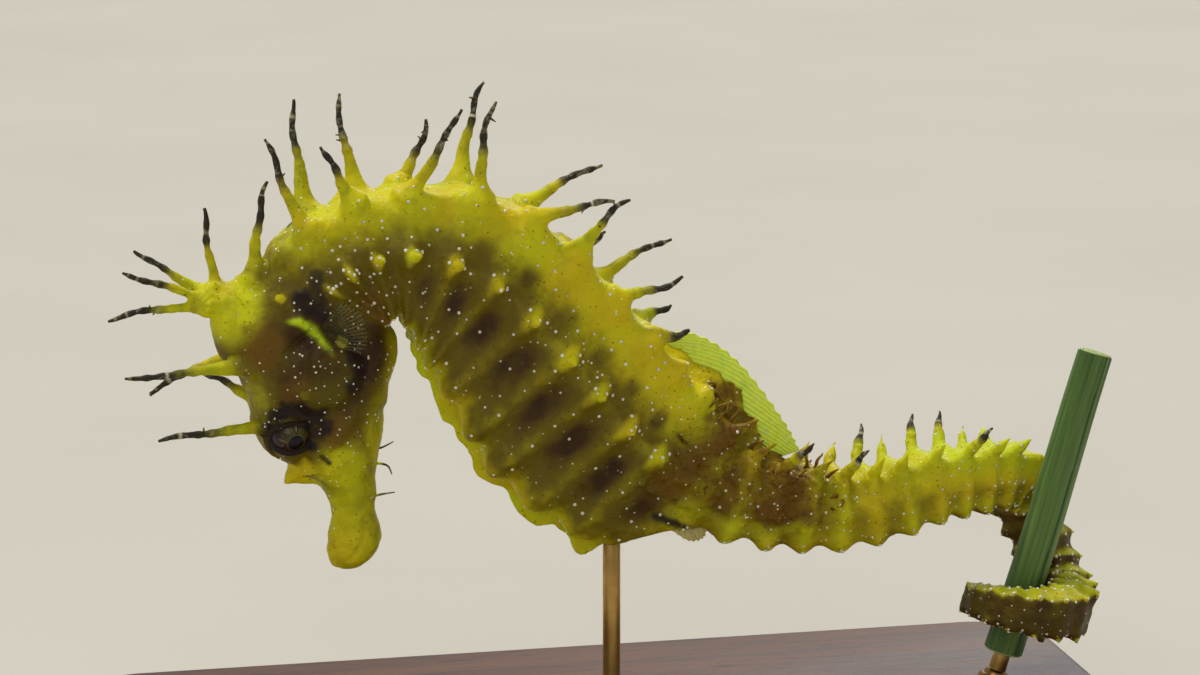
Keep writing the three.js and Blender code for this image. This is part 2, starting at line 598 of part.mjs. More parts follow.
function baseSolid() {
  const { length, width, height, corner, bevel } = BASE;
  const half = new THREE.Vector2(length / 2 - bevel, width / 2 - bevel);
  const r = corner - bevel;
  const shape = new THREE.Shape();
  shape.absarc(half.x - r, half.y - r, r, 0, Math.PI / 2);
  shape.absarc(-half.x + r, half.y - r, r, Math.PI / 2, Math.PI);
  shape.absarc(-half.x + r, -half.y + r, r, Math.PI, Math.PI * 1.5);
  shape.absarc(half.x - r, -half.y + r, r, Math.PI * 1.5, Math.PI * 2);
  const bevels = { bevelEnabled: true, bevelThickness: bevel, bevelSize: bevel, bevelSegments: 1, curveSegments: 4 };
  const geometry = new THREE.ExtrudeGeometry(shape, { depth: height - 2 * bevel, ...bevels });
  geometry.translate(0, 0, bevel);
  return solidOf(geometry);
}

// ---------------------------------------------------------------- assembly

const group = new THREE.Group();

function addPart(name, solid, finish) {
  const mesh = new THREE.Mesh(geometryOf(solid), new THREE.MeshStandardMaterial(COLOURS[finish]));
  mesh.name = name;
  group.add(mesh);
}

// The stations at which the body is parted, between two rings.
const between = (i) => (ringStations[i] + ringStations[i + 1]) / 2;
const CUTS = {
  snout: 5.4,
  head: 17.3,
  neck: between(1),
  trunkFront: between(4),
  trunkMiddle: between(7),
  trunkRear: vent + 0.55, // behind the rod's socket
  tailRoot: between(14),
  tailMiddle: between(18),
};
const ringAndGap = ringStations.flatMap((r, i) => (i + 1 < ringStations.length ? [r, between(i)] : [r]));

const pectorals = [1, -1].map((side) => pectoralFin(side));
const pectoralSlots = [1, -1].map((side) => pectoralFin(side, GAP));
const dorsalFin = flatFin(DORSAL_FIN);
const analFin = flatFin(ANAL_FIN);
const dorsalSlot = flatFin(DORSAL_FIN, GAP);
const analSlot = flatFin(ANAL_FIN, GAP);

const snout = bodyLength(0, CUTS.snout, evenStations(0, CUTS.snout, SNOUT_STEP), HEAD_ANGLES);
addPart("snout", snout, "skin");

const head = pectoralSlots.reduce((s, slot) => s.subtract(slot), headSolid(CUTS.snout, CUTS.head));
addPart("head", head, "skin");
addPart("coronet", crownSide(1), "skin");

const FLANK_SPINES = { angle: RIDGES.flank.angle, reach: () => 1.9, sweep: 0.35, thick: 1.0, sink: 0.5 };
const BELLY_SPINES = { angle: RIDGES.lower.angle, reach: bellySpine, sweep: 0.3, thick: 0.8, sink: 0.5 };
const TAIL_SPINES = { angle: RIDGES.upper.angle, reach: tailSpine, sweep: 0.25, thick: 0.85, sink: 0.5 };

function bellySpine(station) {
  return station < HEAD.length + 2.5 ? 0 : 0.7; // none in the fold of the throat
}

function tailSpine(station) {
  const length = 3.0 - 1.7 * smooth(station, vent + 1, coilStart);
  return station < coilStart ? length : 0; // none in the grip
}

function trunkLength(name, from, to, cutters = []) {
  const body = bodyLength(from, to, ringAndGap);
  const spines = [FLANK_SPINES, BELLY_SPINES].flatMap((kind) => ridgeSpines(from, to, kind));
  const solid = joined(body, [...backThreads(from, to), ...spines, ...keelFlaps(from, to)]);
  addPart(name, cutters.reduce((s, cutter) => s.subtract(cutter), solid), "skin");
}

trunkLength("neck", CUTS.head, CUTS.neck, pectoralSlots);
trunkLength("trunk_front", CUTS.neck, CUTS.trunkFront);
trunkLength("trunk_middle", CUTS.trunkFront, CUTS.trunkMiddle);
const rodFoot = new THREE.Vector3(TRUNK_ROD.x, 0, BASE.height - ROD_SEAT);
const rodTop = new THREE.Vector3(TRUNK_ROD.x, 0, TRUNK_ROD.top);
const trunkSocket = rod(rodFoot, rodTop, GAP);
trunkLength("trunk_rear", CUTS.trunkMiddle, CUTS.trunkRear, [dorsalSlot, analSlot, trunkSocket]);

function tailLengthPiece(name, from, to, cutters = []) {
  const solid = joined(bodyLength(from, to, ringAndGap), ridgeSpines(from, to, TAIL_SPINES));
  addPart(name, cutters.reduce((s, cutter) => s.subtract(cutter), solid), "skin");
}

tailLengthPiece("tail_root", CUTS.trunkRear, CUTS.tailRoot, [dorsalSlot, analSlot]);
tailLengthPiece("tail_middle", CUTS.tailRoot, CUTS.tailMiddle);

const coilStation = (angle) => coilStart + (angle - COIL.from) / COIL.step;
const COIL_CUTS = [128, 222, 316, 408];
const coilNames = ["tail_bend", "tail_coil_right", "tail_coil_front", "tail_coil_left", "tail_tip"];
const coilEnds = [CUTS.tailMiddle, ...COIL_CUTS.map(coilStation), lastPoint];
coilNames.forEach((name, i) => tailLengthPiece(name, coilEnds[i], coilEnds[i + 1]));

addPart("dorsal_fin", dorsalFin, "fin");
addPart("anal_fin", analFin, "fin");
addPart("pectoral_fin_left", pectorals[0], "fin");
addPart("pectoral_fin_right", pectorals[1], "fin");
addPart("eye_left", ball(eyeCentre(1), EYE_RADIUS), "eye");
addPart("eye_right", ball(eyeCentre(-1), EYE_RADIUS), "eye");

const onStem = (z) => stemFoot.clone().addScaledVector(stemAxis, (z - STEM.z) / stemAxis.z);
const perchRodFoot = onStem(BASE.height - ROD_SEAT);
const perchRodTop = stemFoot.clone().addScaledVector(stemAxis, STEM.below + PERCH_SEAT);
const perchSocket = rod(perchRodFoot, perchRodTop, GAP);
addPart("perch_stem", perchSolid().subtract(perchSocket), "eelgrass");

// The sockets in the base are bored a gap deeper than the rods go.
const bore = (foot, top) => rod(foot.clone().add(foot.clone().sub(top).setLength(GAP)), top, GAP);
const bores = [bore(rodFoot, rodTop), bore(perchRodFoot, perchRodTop)];
addPart("stand_base", bores.reduce((s, socket) => s.subtract(socket), baseSolid()), "wood");
addPart("stand_rod_trunk", rod(rodFoot, rodTop), "brass");
addPart("stand_rod_perch", rod(perchRodFoot, perchRodTop), "brass");

export default group;
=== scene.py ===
"""A life-size model of a long-snouted spiny seahorse that grips a cut shoot of eelgrass, on a display stand.

Shapes are worked out in millimetres, in the frame of the solids, and become metres when a mesh is made. The
animal's head is at -X and its tail at +X, and its left side faces -Y. A place on its body is a station, counted
along the centre line from the mouth, and an angle in degrees: 0 is the back, 90 the left flank, 180 the belly.
"""

import itertools
import math

import bpy
import numpy as np
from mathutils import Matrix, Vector
from mathutils.bvhtree import BVHTree
from mathutils.kdtree import KDTree


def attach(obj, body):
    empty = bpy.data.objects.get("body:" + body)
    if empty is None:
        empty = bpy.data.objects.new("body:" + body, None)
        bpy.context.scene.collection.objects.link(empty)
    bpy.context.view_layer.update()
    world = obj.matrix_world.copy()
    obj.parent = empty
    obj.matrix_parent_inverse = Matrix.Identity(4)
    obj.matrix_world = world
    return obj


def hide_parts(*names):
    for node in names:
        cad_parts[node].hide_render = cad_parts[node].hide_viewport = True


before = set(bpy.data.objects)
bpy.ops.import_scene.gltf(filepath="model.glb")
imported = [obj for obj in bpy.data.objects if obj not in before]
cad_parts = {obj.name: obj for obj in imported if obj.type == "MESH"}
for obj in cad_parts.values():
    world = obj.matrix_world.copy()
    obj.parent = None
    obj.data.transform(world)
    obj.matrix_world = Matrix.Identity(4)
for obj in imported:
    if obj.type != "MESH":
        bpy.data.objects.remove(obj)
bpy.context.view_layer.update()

MM = 0.001
random = np.random.default_rng(7)

# ---------------------------------------------------------------- driving dimensions

# Stations of the head and the trunk: centre (x, z), then the reach towards the back, the belly and each side.
HEAD = np.array(
    [
        (-25.7, 23.0, 1.0, 1.0, 0.8),  # mouth
        (-25.7, 23.9, 2.0, 1.8, 1.9),
        (-25.1, 25.7, 2.6, 2.5, 2.2),  # jaw angle
        (-24.9, 27.3, 2.5, 2.4, 2.0),
        (-25.0, 28.8, 2.3, 2.1, 1.9),  # snout
        (-25.2, 30.2, 2.3, 2.5, 2.1),
        (-25.6, 31.7, 2.5, 2.9, 2.5),
        (-26.1, 33.2, 3.1, 3.7, 3.1),
        (-26.7, 34.8, 4.4, 4.9, 3.5),
        (-27.2, 36.4, 5.8, 5.5, 3.8),
        (-27.7, 38.0, 6.9, 6.0, 4.1),  # eyes
        (-28.0, 39.6, 7.3, 6.6, 4.3),
        (-28.3, 41.3, 6.9, 7.3, 4.6),  # cheek
        (-28.5, 43.0, 7.5, 7.9, 4.9),
        (-28.6, 44.7, 8.4, 8.2, 5.0),
        (-28.7, 46.4, 9.8, 8.0, 4.9),  # occiput
        (-28.6, 48.2, 10.2, 7.5, 4.6),
        (-28.2, 50.0, 9.2, 7.2, 4.4),  # nape
    ]
)
TRUNK = np.array(
    [
        (-27.2, 51.9, 7.6, 7.2, 4.3),  # ring 1, the neck
        (-25.6, 53.6, 6.0, 6.8, 4.4),
        (-23.2, 54.8, 5.7, 6.6, 4.6),
        (-19.9, 55.3, 5.7, 7.5, 4.8),
        (-15.7, 54.4, 6.9, 9.6, 5.0),
        (-11.8, 52.2, 7.5, 10.8, 5.3),
        (-8.2, 48.8, 7.8, 11.7, 5.5),
        (-4.6, 44.7, 8.0, 12.9, 5.6),
        (-1.6, 41.0, 8.1, 13.7, 5.6),
        (1.4, 37.3, 8.3, 12.9, 5.3),
        (4.4, 34.2, 8.0, 11.8, 4.9),  # ring 11
        (6.6, 32.2, 7.6, 11.2, 4.6),  # the vent
    ]
)
TRUNK_RINGS = 11
TAIL = np.array(
    [
        (9.6, 0.0, 30.0),
        (14.1, 0.0, 28.1),
        (18.8, 0.0, 27.0),
        (24.1, 0.0, 26.3),
        (29.4, 0.1, 26.7),
        (34.9, 0.7, 27.9),
        (40.0, 2.4, 28.0),
    ]
)
TAIL_RINGS = 37
TAIL_RADIUS = 4.5
TAIL_WIDTH = (0.86, 1.12)  # width over depth, at the root and in the grip
FIRST_TAIL_RING = 4.15
RING_RATIO = 0.966

STEM_FOOT = np.array([44.7, 0.0, 15.3])
STEM_LEAN = math.radians(16.5)
STEM_AXIS = np.array([math.sin(STEM_LEAN), 0.0, math.cos(STEM_LEAN)])
STEM_RIGHT = np.array([math.cos(STEM_LEAN), 0.0, -math.sin(STEM_LEAN)])
STEM_RADIUS = 2.05
STEM_ENDS = (-5.6, 27.0)
COIL = (60, 560, 20)  # the grip's first and last angle round the stem, and the step between its stations
COIL_RISE = 9.4
COIL_DROP = (46, 172)
COIL_FALL = 0.012
GRIP_CLEAR = 0.35
GRIP_RADII = (3.3, 1.1)
TWIST = (40, 150)

EYE = np.array([-31.6, 2.9, 37.6])
EYE_RADIUS = 2.0
BASE = (108.0, 44.0, 7.0)
BASE_CORNER = 9.0
ROD_RADIUS = 0.9
ROD_SEAT = 3.0
TRUNK_ROD_X = 1.2
TRUNK_ROD_TOP = 28.0

# ---------------------------------------------------------------- plain maths


def smooth(value, low, high):
    """0 below low, 1 above high, and an even slope between them. It falls instead where high is below low."""
    t = np.clip((np.asarray(value, float) - low) / (high - low), 0, 1)
    return t * t * (3 - 2 * t)


def bump(value, middle, width):
    return np.exp(-(((np.asarray(value, float) - middle) / width) ** 2))


def lerp(a, b, share):
    return a + (b - a) * share


def unit(vectors):
    return vectors / np.maximum(np.linalg.norm(vectors, axis=-1, keepdims=True), 1e-9)


def dot(a, b):
    return (a * b).sum(axis=-1, keepdims=True)


def through(points, at):
    """Places and slopes at stations on the smooth curve through points, counted from the first of them."""
    ends = np.vstack([2 * points[0] - points[1], points, 2 * points[-1] - points[-2]])
    first = np.clip(np.floor(at).astype(int), 0, len(points) - 2)
    t = (at - first)[:, None]
    p0, p1, p2, p3 = (ends[first + k] for k in range(4))
    m1, m2 = (p2 - p0) / 2, (p3 - p1) / 2
    c2 = 3 * (p2 - p1) - 2 * m1 - m2
    c3 = 2 * (p1 - p2) + m1 + m2
    return p1 + t * (m1 + t * (c2 + t * c3)), m1 + t * (2 * c2 + 3 * t * c3)


def lumps(points, size, seed):
    """Smooth noise from -1 to 1, with lumps about size across."""
    p = points / size + 17.3 * seed
    cell = np.floor(p).astype(np.int64)
    share = p - cell
    share = share * share * (3 - 2 * share)
    total = np.zeros(len(points))
    for corner in itertools.product((0, 1), repeat=3):
        x, y, z = (cell + np.array(corner)).T
        mixed = (x * 374761393 + y * 668265263 + z * 1440662683 + seed * 974711) & 0x7FFFFFFF
        mixed = ((mixed ^ (mixed >> 13)) * 1274126177) & 0x7FFFFFFF
        height = ((mixed ^ (mixed >> 16)) & 0xFFFF) / 32767.5 - 1
        total += height * np.prod(np.where(corner, share, 1 - share), axis=1)
    return total


# ---------------------------------------------------------------- the body's centre line and sections


def out_of_stem(angle):
    """Direction out of the stem at angles of the grip: 0 is the stem's left, 90 its far side."""
    a = np.radians(np.atleast_1d(angle))[:, None]
    return -np.cos(a) * STEM_RIGHT + np.sin(a) * np.array([0.0, 1.0, 0.0])


def coil_points():
    angle = np.arange(COIL[0], COIL[1] + 1, COIL[2])
    height = COIL_RISE * (1 - smooth(angle, *COIL_DROP)) - COIL_FALL * (angle - 270)
    radius = STEM_RADIUS + GRIP_CLEAR + lerp(*GRIP_RADII, (angle - COIL[0]) / (COIL[1] - COIL[0]))
    return STEM_FOOT + height[:, None] * STEM_AXIS + radius[:, None] * out_of_stem(angle)


BODY = np.vstack([HEAD, TRUNK])
LINE = np.vstack([np.insert(BODY[:, :2], 1, 0.0, axis=1), TAIL, coil_points()])
LAST = len(LINE) - 1
NAPE = len(HEAD)  # the station of ring 1
VENT = len(BODY) - 1
GRIP = VENT + len(TAIL) + 1  # the station where the grip begins
FINE = np.linspace(0, LAST, 3001)
LENGTHS = np.concatenate([[0], np.cumsum(np.linalg.norm(np.diff(through(LINE, FINE)[0], axis=0), axis=1))])


def length_at(station):
    return np.interp(station, FINE, LENGTHS)


def ring_stations():
    ends = length_at(VENT) + np.cumsum(FIRST_TAIL_RING * RING_RATIO ** np.arange(TAIL_RINGS))
    ends = ends[ends < LENGTHS[-1] - 0.5]
    return np.concatenate([NAPE + np.arange(TRUNK_RINGS), np.interp(ends, LENGTHS, FINE)])


RINGS = ring_stations()


def frames(at):
    """Centre, and the directions along the body, to its back and to its left, at stations."""
    centre, slope = through(LINE, np.clip(at, 0, LAST))
    along = unit(slope)
    back = unit(np.stack([-along[:, 2], np.zeros(len(along)), along[:, 0]], axis=1))
    angle = COIL[0] + (at - GRIP) * COIL[2]
    back = lerp(back, out_of_stem(angle), smooth(angle, *TWIST)[:, None])
    back = unit(back - along * dot(back, along))
    return centre, along, back, np.cross(along, back)


def reaches(at):
    """Reach towards the back, the belly and each side, at stations."""
    body = through(BODY[:, 2:], np.clip(at, 0, VENT))[0]
    share = np.clip((length_at(at) - length_at(VENT)) / (LENGTHS[-1] - length_at(VENT)), 0, 1)
    half = TAIL_RADIUS * (1 - 0.68 * share - 0.24 * smooth(share, 0.72, 1))
    width = lerp(*TAIL_WIDTH, smooth(at, GRIP - 2, GRIP + 7))
    back = lerp(body[:, 0], half, smooth(at, VENT, VENT + 2.4))
    belly = lerp(body[:, 1], half, smooth(at, VENT, VENT + 1.1))
    side = lerp(body[:, 2], width * half, smooth(at, VENT, VENT + 1.5))
    return back, belly, side


def from_ring(at):
    """How far stations are from the middle of the nearest ring, in ring lengths; 0.5 where there are none."""
    after = np.clip(np.searchsorted(RINGS, at, side="right"), 1, len(RINGS) - 1)
    share = (at - RINGS[after - 1]) / (RINGS[after] - RINGS[after - 1])
    return np.where(at < RINGS[0] - 0.5, 0.5, share - np.round(share))


def on_trunk(at):
    return smooth(at, NAPE - 2, NAPE + 1) * (1 - smooth(at, VENT - 1, VENT + 2))


def on_tail(at):
    return smooth(at, VENT - 1, VENT + 2)


def tail_size(at):
    """The tail's depth as a share of its depth at the root."""
    return reaches(at)[0] / TAIL_RADIUS


def skin_offsets(at, angle):
    """Offsets to the back and to the left of the skin's points, for stations (rows) and angles (columns)."""
    back, belly, side = (reach[:, None] for reach in reaches(at))
    a = np.abs(angle)[None, :]
    trunk, tail = on_trunk(at)[:, None], on_tail(at)[:, None]
    off = from_ring(at)[:, None]
    wave = np.where(at < RINGS[0] - 0.5, 0, np.cos(2 * math.pi * from_ring(at)))[:, None]
    upper, flank, lower = bump(a, 40, 15), bump(a, 90, 13), bump(a, 140, 15)
    swell = 1 + trunk * (0.22 * upper + 0.12 * flank + 0.14 * lower) + tail * 0.22 * (upper + lower)
    swell = swell * (1 + wave * (0.02 * trunk + 0.045 * tail))
    swell = swell + wave * trunk * (0.04 * flank + 0.03 * lower)
    swell = swell + wave * tail * 0.07 * (upper + lower)
    radians = np.radians(angle)[None, :]
    to_back = np.where(a < 90, back, belly) * np.cos(radians) * swell
    to_left = side * np.sin(radians) * swell
    # Ribs of bone, and a knob where each crosses a ridge, stand a little further out.
    rib = bump(off, 0, 0.2) - 0.35
    knob = bump(off, 0, 0.22)
    size = np.clip(tail_size(at), 0.2, 1)[:, None] * lerp(1, 0.45, smooth(at, GRIP - 1, GRIP + 3))[:, None]
    out = trunk * rib * (0.1 + 0.2 * bump(a, 115, 30) + 0.1 * bump(a, 62, 14))
    out = out + trunk * (0.12 + 0.27 * knob) * bump(a, 90, 8) + trunk * knob * 0.2 * bump(a, 140, 12)
    out = out + trunk * knob * 0.9 * bump(a, 40, 13) * smooth(at, NAPE + 0.3, NAPE + 0.9)[:, None]
    out = out - trunk * 0.8 * bump(a, 180, 17)  # the fringe stands here
    fin_base = 2.6 * bump(at, VENT - 0.1, 2.0) + 2.1 * bump(at, VENT + 1.5, 1.0)
    out = out + fin_base[:, None] * bump(a, 0, 16)
    out = out - 1.2 * bump(at, NAPE - 0.5, 0.7)[:, None] * smooth(a, 80, 30)
    out = out + tail * size * (0.22 * rib + knob * (0.95 * bump(a, 42, 11) + 0.08 * bump(a, 138, 12)))
    out = out + tail * size * 0.12 * knob * bump(a, 90, 9)
    reach = np.hypot(to_back, to_left)
    return to_back * (1 + out / reach), to_left * (1 + out / reach)


def skin_grid(at, angle):
    """The skin's points at stations and angles, as rows of points."""
    centre, _, back, left = frames(at)
    to_back, to_left = skin_offsets(at, angle)
    return centre[:, None] + to_back[..., None] * back[:, None] + to_left[..., None] * left[:, None]


def on_skin(station, angle, sink=0.0):
    """A point of the skin, sunk below it, the way out from the body there, and the way along it."""
    at = np.array([float(station)])
    centre, along, _, _ = (v[0] for v in frames(at))
    point = skin_grid(at, np.array([float(angle)]))[0, 0]
    out = unit(point - centre)
    return point - sink * out, out, along


# ---------------------------------------------------------------- shapes


class Shape:
    """Points in millimetres, faces as arrays of corners, and values that the finish reads at each point."""

    def __init__(self, points, faces, **values):
        self.points = np.asarray(points, float)
        self.faces = [np.asarray(block, int) for block in faces]
        self.values = {k: np.broadcast_to(v, len(self.points)).astype(float) for k, v in values.items()}


def merged(shapes):
    names = sorted({name for shape in shapes for name in shape.values})
    starts = np.cumsum([0] + [len(shape.points) for shape in shapes])
    faces = [block + start for shape, start in zip(shapes, starts) for block in shape.faces]
    values = {
        name: np.concatenate([shape.values.get(name, np.zeros(len(shape.points))) for shape in shapes])
        for name in names
    }
    return Shape(np.vstack([shape.points for shape in shapes]), faces, **values)


def mesh_of(name, shape):
    mesh = bpy.data.meshes.new(name)
    faces = [face for block in shape.faces for face in block.tolist()]
    mesh.from_pydata(shape.points * MM, [], faces)
    for key, value in shape.values.items():
        attribute = mesh.attributes.new(key, "FLOAT", "POINT")
        attribute.data.foreach_set("value", value.astype(np.float32))
    mesh.shade_smooth()
    mesh.update()
    return mesh


def piece(name, shape, finish, slot, *replaced):
    """A piece of the model, which stands for the solids named last."""
    mesh = mesh_of(name, shape)
    mesh.materials.append(finish)
    made = bpy.data.objects.new(name, mesh)
    bpy.context.scene.collection.objects.link(made)
    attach(made, "root")
    if replaced:
        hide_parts(*replaced)
    return made


def grid_faces(rows, columns, closed=True):
    """Quads between rows of points, which go round and meet where closed."""
    r = np.arange(rows - 1)[:, None] * columns
    c = np.arange(columns if closed else columns - 1)[None, :]
    after = (c + 1) % columns
    corners = [r + c, r + after, r + columns + after, r + columns + c]
    return np.stack([k.ravel() for k in np.broadcast_arrays(*corners)], axis=1)


def loft(rings, **values):
    """A closed shape round rows of points, with flat ends. Values are given for each row or each point."""
    rings = np.asarray(rings, float)
    rows, columns = rings.shape[:2]
    points = np.vstack([rings.reshape(-1, 3), rings[0].mean(axis=0), rings[-1].mean(axis=0)])
    c = np.arange(columns)
    after = (c + 1) % columns
    foot = np.stack([np.full(columns, rows * columns), after, c], axis=1)
    top = np.stack([np.full(columns, rows * columns + 1), c, after], axis=1) + 0
    top[:, 1:] += (rows - 1) * columns
    spread = {}
    for key, value in values.items():
        value = np.asarray(value, float)
        value = value[:, None] if value.ndim == 1 else value
        value = np.broadcast_to(value, (rows, columns))
        spread[key] = np.concatenate([value.ravel(), [value[0].mean(), value[-1].mean()]])
    return Shape(points, [grid_faces(rows, columns), foot, top], **spread)


def tube(path, radii, sides=10, **values):
    """A round tube along a path, with a radius at each of its points."""
    path = np.asarray(path, float)
    along = unit(np.gradient(path, axis=0))
    u = np.cross(along[0], [0.3, 0.8, 0.52])
    rings = []
    for point, way, radius in zip(path, along, np.broadcast_to(radii, len(path))):
        u = unit(u - way * np.dot(u, way))
        v = np.cross(way, u)
        turn = np.arange(sides)[:, None] * 2 * math.pi / sides
        rings.append(point + radius * (np.cos(turn) * u + np.sin(turn) * v))
    return loft(rings, **values)


def ball(centre, radius, pole=(0.0, 0.0, 1.0), wide=32, high=20):
    """A ball as a loft from one pole to the other; polar is the angle from its pole and turn the way round."""
    pole = unit(np.asarray(pole, float))
    u = unit(np.cross(pole, [0.0, 0.1, 1.0]))
    v = np.cross(pole, u)
    polar = np.linspace(0.02, math.pi - 0.02, high)[:, None, None]
    turn = (np.arange(wide) * 2 * math.pi / wide)[None, :, None]
    ways = np.cos(polar) * pole + np.sin(polar) * (np.cos(turn) * u + np.sin(turn) * v)
    rings = np.asarray(centre) + radius * ways
    return loft(rings[:, ::-1], polar=np.degrees(polar[:, 0, 0]))


# ---------------------------------------------------------------- spines and skin threads


class Horn:
    """A spine that runs out in a skin thread: its path from root to tip, and its radius along it."""

    def __init__(
        self, root, tip, thick, thin=0.26, bend=0.0, quick=2.6, sway=0.0, thread=True, flare=0.0, count=44
    ):
        root, tip = np.asarray(root, float), np.asarray(tip, float)
        chord = tip - root
        across = np.array([-chord[2], 0.0, chord[0]])
        middle = (root + tip) / 2 + bend * across
        self.share = np.linspace(0, 1, count)
        t = self.share[:, None]
        path = (1 - t) ** 2 * root + 2 * t * (1 - t) * middle + t**2 * tip
        phase, pace = random.uniform(0, 6.28), random.uniform(1.1, 1.9)
        wander = sway * t**1.3 * np.sin(phase + 2 * math.pi * pace * t)
        self.path = path + wander * unit(across) + 0.6 * wander * np.array([0.0, 1.0, 0.0])
        self.length = np.linalg.norm(chord)
        deep = self.share * self.length
        self.radius = thin + (thick - thin) * (1 - self.share) ** quick
        self.radius += flare * np.exp(-np.maximum(deep - 0.9, 0) / 0.7)
        self.radius *= smooth(deep, -0.9, 0.9)
        self.thread = thread


THREAD_FROM = 0.26  # share of a spine's length where its skin thread's own surface begins
FOOT_TO = 0.56  # share of it that is part of the body's skin


def heading(angle, outwards):
    a = math.radians(angle)
    return unit(np.array([math.cos(a), outwards, math.sin(a)]))


# The long threads on the back, for the left and the right of a ring: heading in the midplane, length, bend, how
# far behind the ring the thread stands, and its angle round the body where that isn't the usual one.
THREAD_ANGLE = 37
BACK_THREADS = (
    ((84, 9.2, 0.12, -1.0, 20), (65, 2.4, 0.0, 0.1)),
    ((113, 9.7, 0.06, -0.2), (96, 10.4, 0.03, 0.0)),
    ((118, 6.1, 0.04, 0.0), (100, 9.7, 0.05, 0.25)),
    ((59, 9.9, -0.1, -0.15), (62, 6.6, -0.12, -0.1)),
    ((84, 9.3, 0.08, 0.15), (75, 9.5, 0.1, 0.0)),
    ((12, 7.8, 0.06, -0.1), (26, 8.7, 0.04, 0.0)),
    ((50, 6.8, 0.14, -0.05), (8, 4.6, -0.2, -0.2)),
    ((15, 6.6, -0.08, -0.2), (26, 8.6, 0.05, -0.25)),
    ((8, 2.8, 0.0, 0.0), (22, 3.2, 0.0, 0.0)),
)
HEAD_THREADS = (
    ((-34.6, -2.0, 44.6), (-47.6, -4.2, 44.2), 0.02),
    ((-35.0, 2.0, 44.8), (-44.6, 4.0, 40.6), -0.12),
    ((-32.6, -2.4, 38.4), (-44.5, -3.4, 37.7), -0.02),
    ((-33.4, 1.6, 39.4), (-39.4, 3.0, 42.9), -0.05),
)
CROWN = ((-35.4, 0.0, 49.8), (-40.0, 0.0, 51.5))
CROWN_THREADS = (
    ((-38.2, 0.6, 50.8), (-45.9, 1.4, 55.7), 0.05),
    ((-38.6, -0.6, 50.4), (-47.4, -1.6, 53.9), -0.05),
    ((-38.5, -0.5, 50.0), (-48.9, -2.2, 49.6), -0.09),
    ((-37.8, 0.2, 50.8), (-39.2, 0.6, 59.7), 0.06),
)
NOSE_SPINE = ((-28.8, 0.0, 34.8), (-32.0, 0.0, 31.7))
NOSE_WEB = ((-27.0, 0.0, 33.2), (-31.2, 0.0, 32.2))
NOSE_FOLD = (-30.4, 0.0, 32.8)  # smoothed over, where the spine of the nose and its web meet
JAWS = (
    ((-24.6, 0.0, 26.4), (-22.3, 0.0, 26.0), 1.6, 0.75),
    ((-24.9, 0.0, 25.0), (-22.9, 0.0, 24.9), 1.4, 0.8),
    ((-26.4, 0.0, 24.9), (-27.6, 0.0, 24.2), 1.5, 0.9),
)
CHEEK_SPINES = (
    ((-32.3, 51.0), 0.55, 0.5, (-0.5, 0.6)),  # place in the midplane, length, thickness and lean
    ((-26.7, 47.1), 0.75, 0.75, (0.3, 0.1)),
    ((-30.2, 42.0), 0.35, 0.6, (0.1, 0.5)),
)
TRUNK_SIDES = (1, -1)


def back_threads():
    made = []
    for ring, pair in enumerate(BACK_THREADS):
        for side, (angle, length, bend, behind, *around) in zip(TRUNK_SIDES, pair):
            point, _, _ = on_skin(NAPE + ring + behind, side * (around or [THREAD_ANGLE])[0], 1.5)
            tip = point + (length + 1.3) * heading(angle, -side * 0.16)
            made.append(Horn(point, tip, 1.3, bend=bend, sway=0.26, flare=0.65))
    return made


def head_horns():
    made = [Horn(root, tip, 1.15, bend=bend, sway=0.2, flare=0.6) for root, tip, bend in HEAD_THREADS]
    made += [Horn(root, tip, 0.85, bend=bend, sway=0.2, flare=0.35) for root, tip, bend in CROWN_THREADS]
    made.append(Horn(*CROWN, 3.0, 1.35, quick=1.6, thread=False))
    made.append(Horn(*NOSE_SPINE, 2.2, 0.35, quick=0.9, thread=False, flare=0.4))
    made.append(Horn(*NOSE_WEB, 1.6, 0.6, quick=1.0, thread=False))
    for root, tip, thick, thin in JAWS:
        made.append(Horn(root, tip, thick, thin, quick=1.0, thread=False))
    axis = unit(np.subtract(CROWN[1], CROWN[0]))
    for turn in np.radians([20, 92, 164, 236, 308]):  # the crown's five points
        out = math.cos(turn) * np.array([0.0, 1.0, 0.0]) + math.sin(turn) * np.cross(axis, [0.0, 1.0, 0.0])
        root = np.array(CROWN[0]) + 3.0 * axis + 0.5 * out
        made.append(Horn(root, root + 1.7 * out + 0.9 * axis, 0.9, 0.22, quick=1.0, thread=False))
    for side in TRUNK_SIDES:
        for (x, z), length, thick, lean in CHEEK_SPINES:
            station, angle = place_near(x, z, side)
            point, out, _ = on_skin(station, angle, 0.4)
            tip = point + (length + 0.4) * unit(out + np.array([lean[0], 0, lean[1]]))
            made.append(Horn(point, tip, thick, 0.25, quick=1.1, thread=False))
    return made


def place_near(x, z, side):
    """The station and angle of the flank's point nearest to a place in the midplane."""
    at, angle = np.arange(2, VENT, 0.1), np.arange(5, 176, 2.5)
    gap = np.hypot(*(skin_grid(at, side * angle)[..., [0, 2]] - np.array([x, z])).transpose(2, 0, 1))
    row, column = np.unravel_index(gap.argmin(), gap.shape)
    return at[row], side * angle[column]


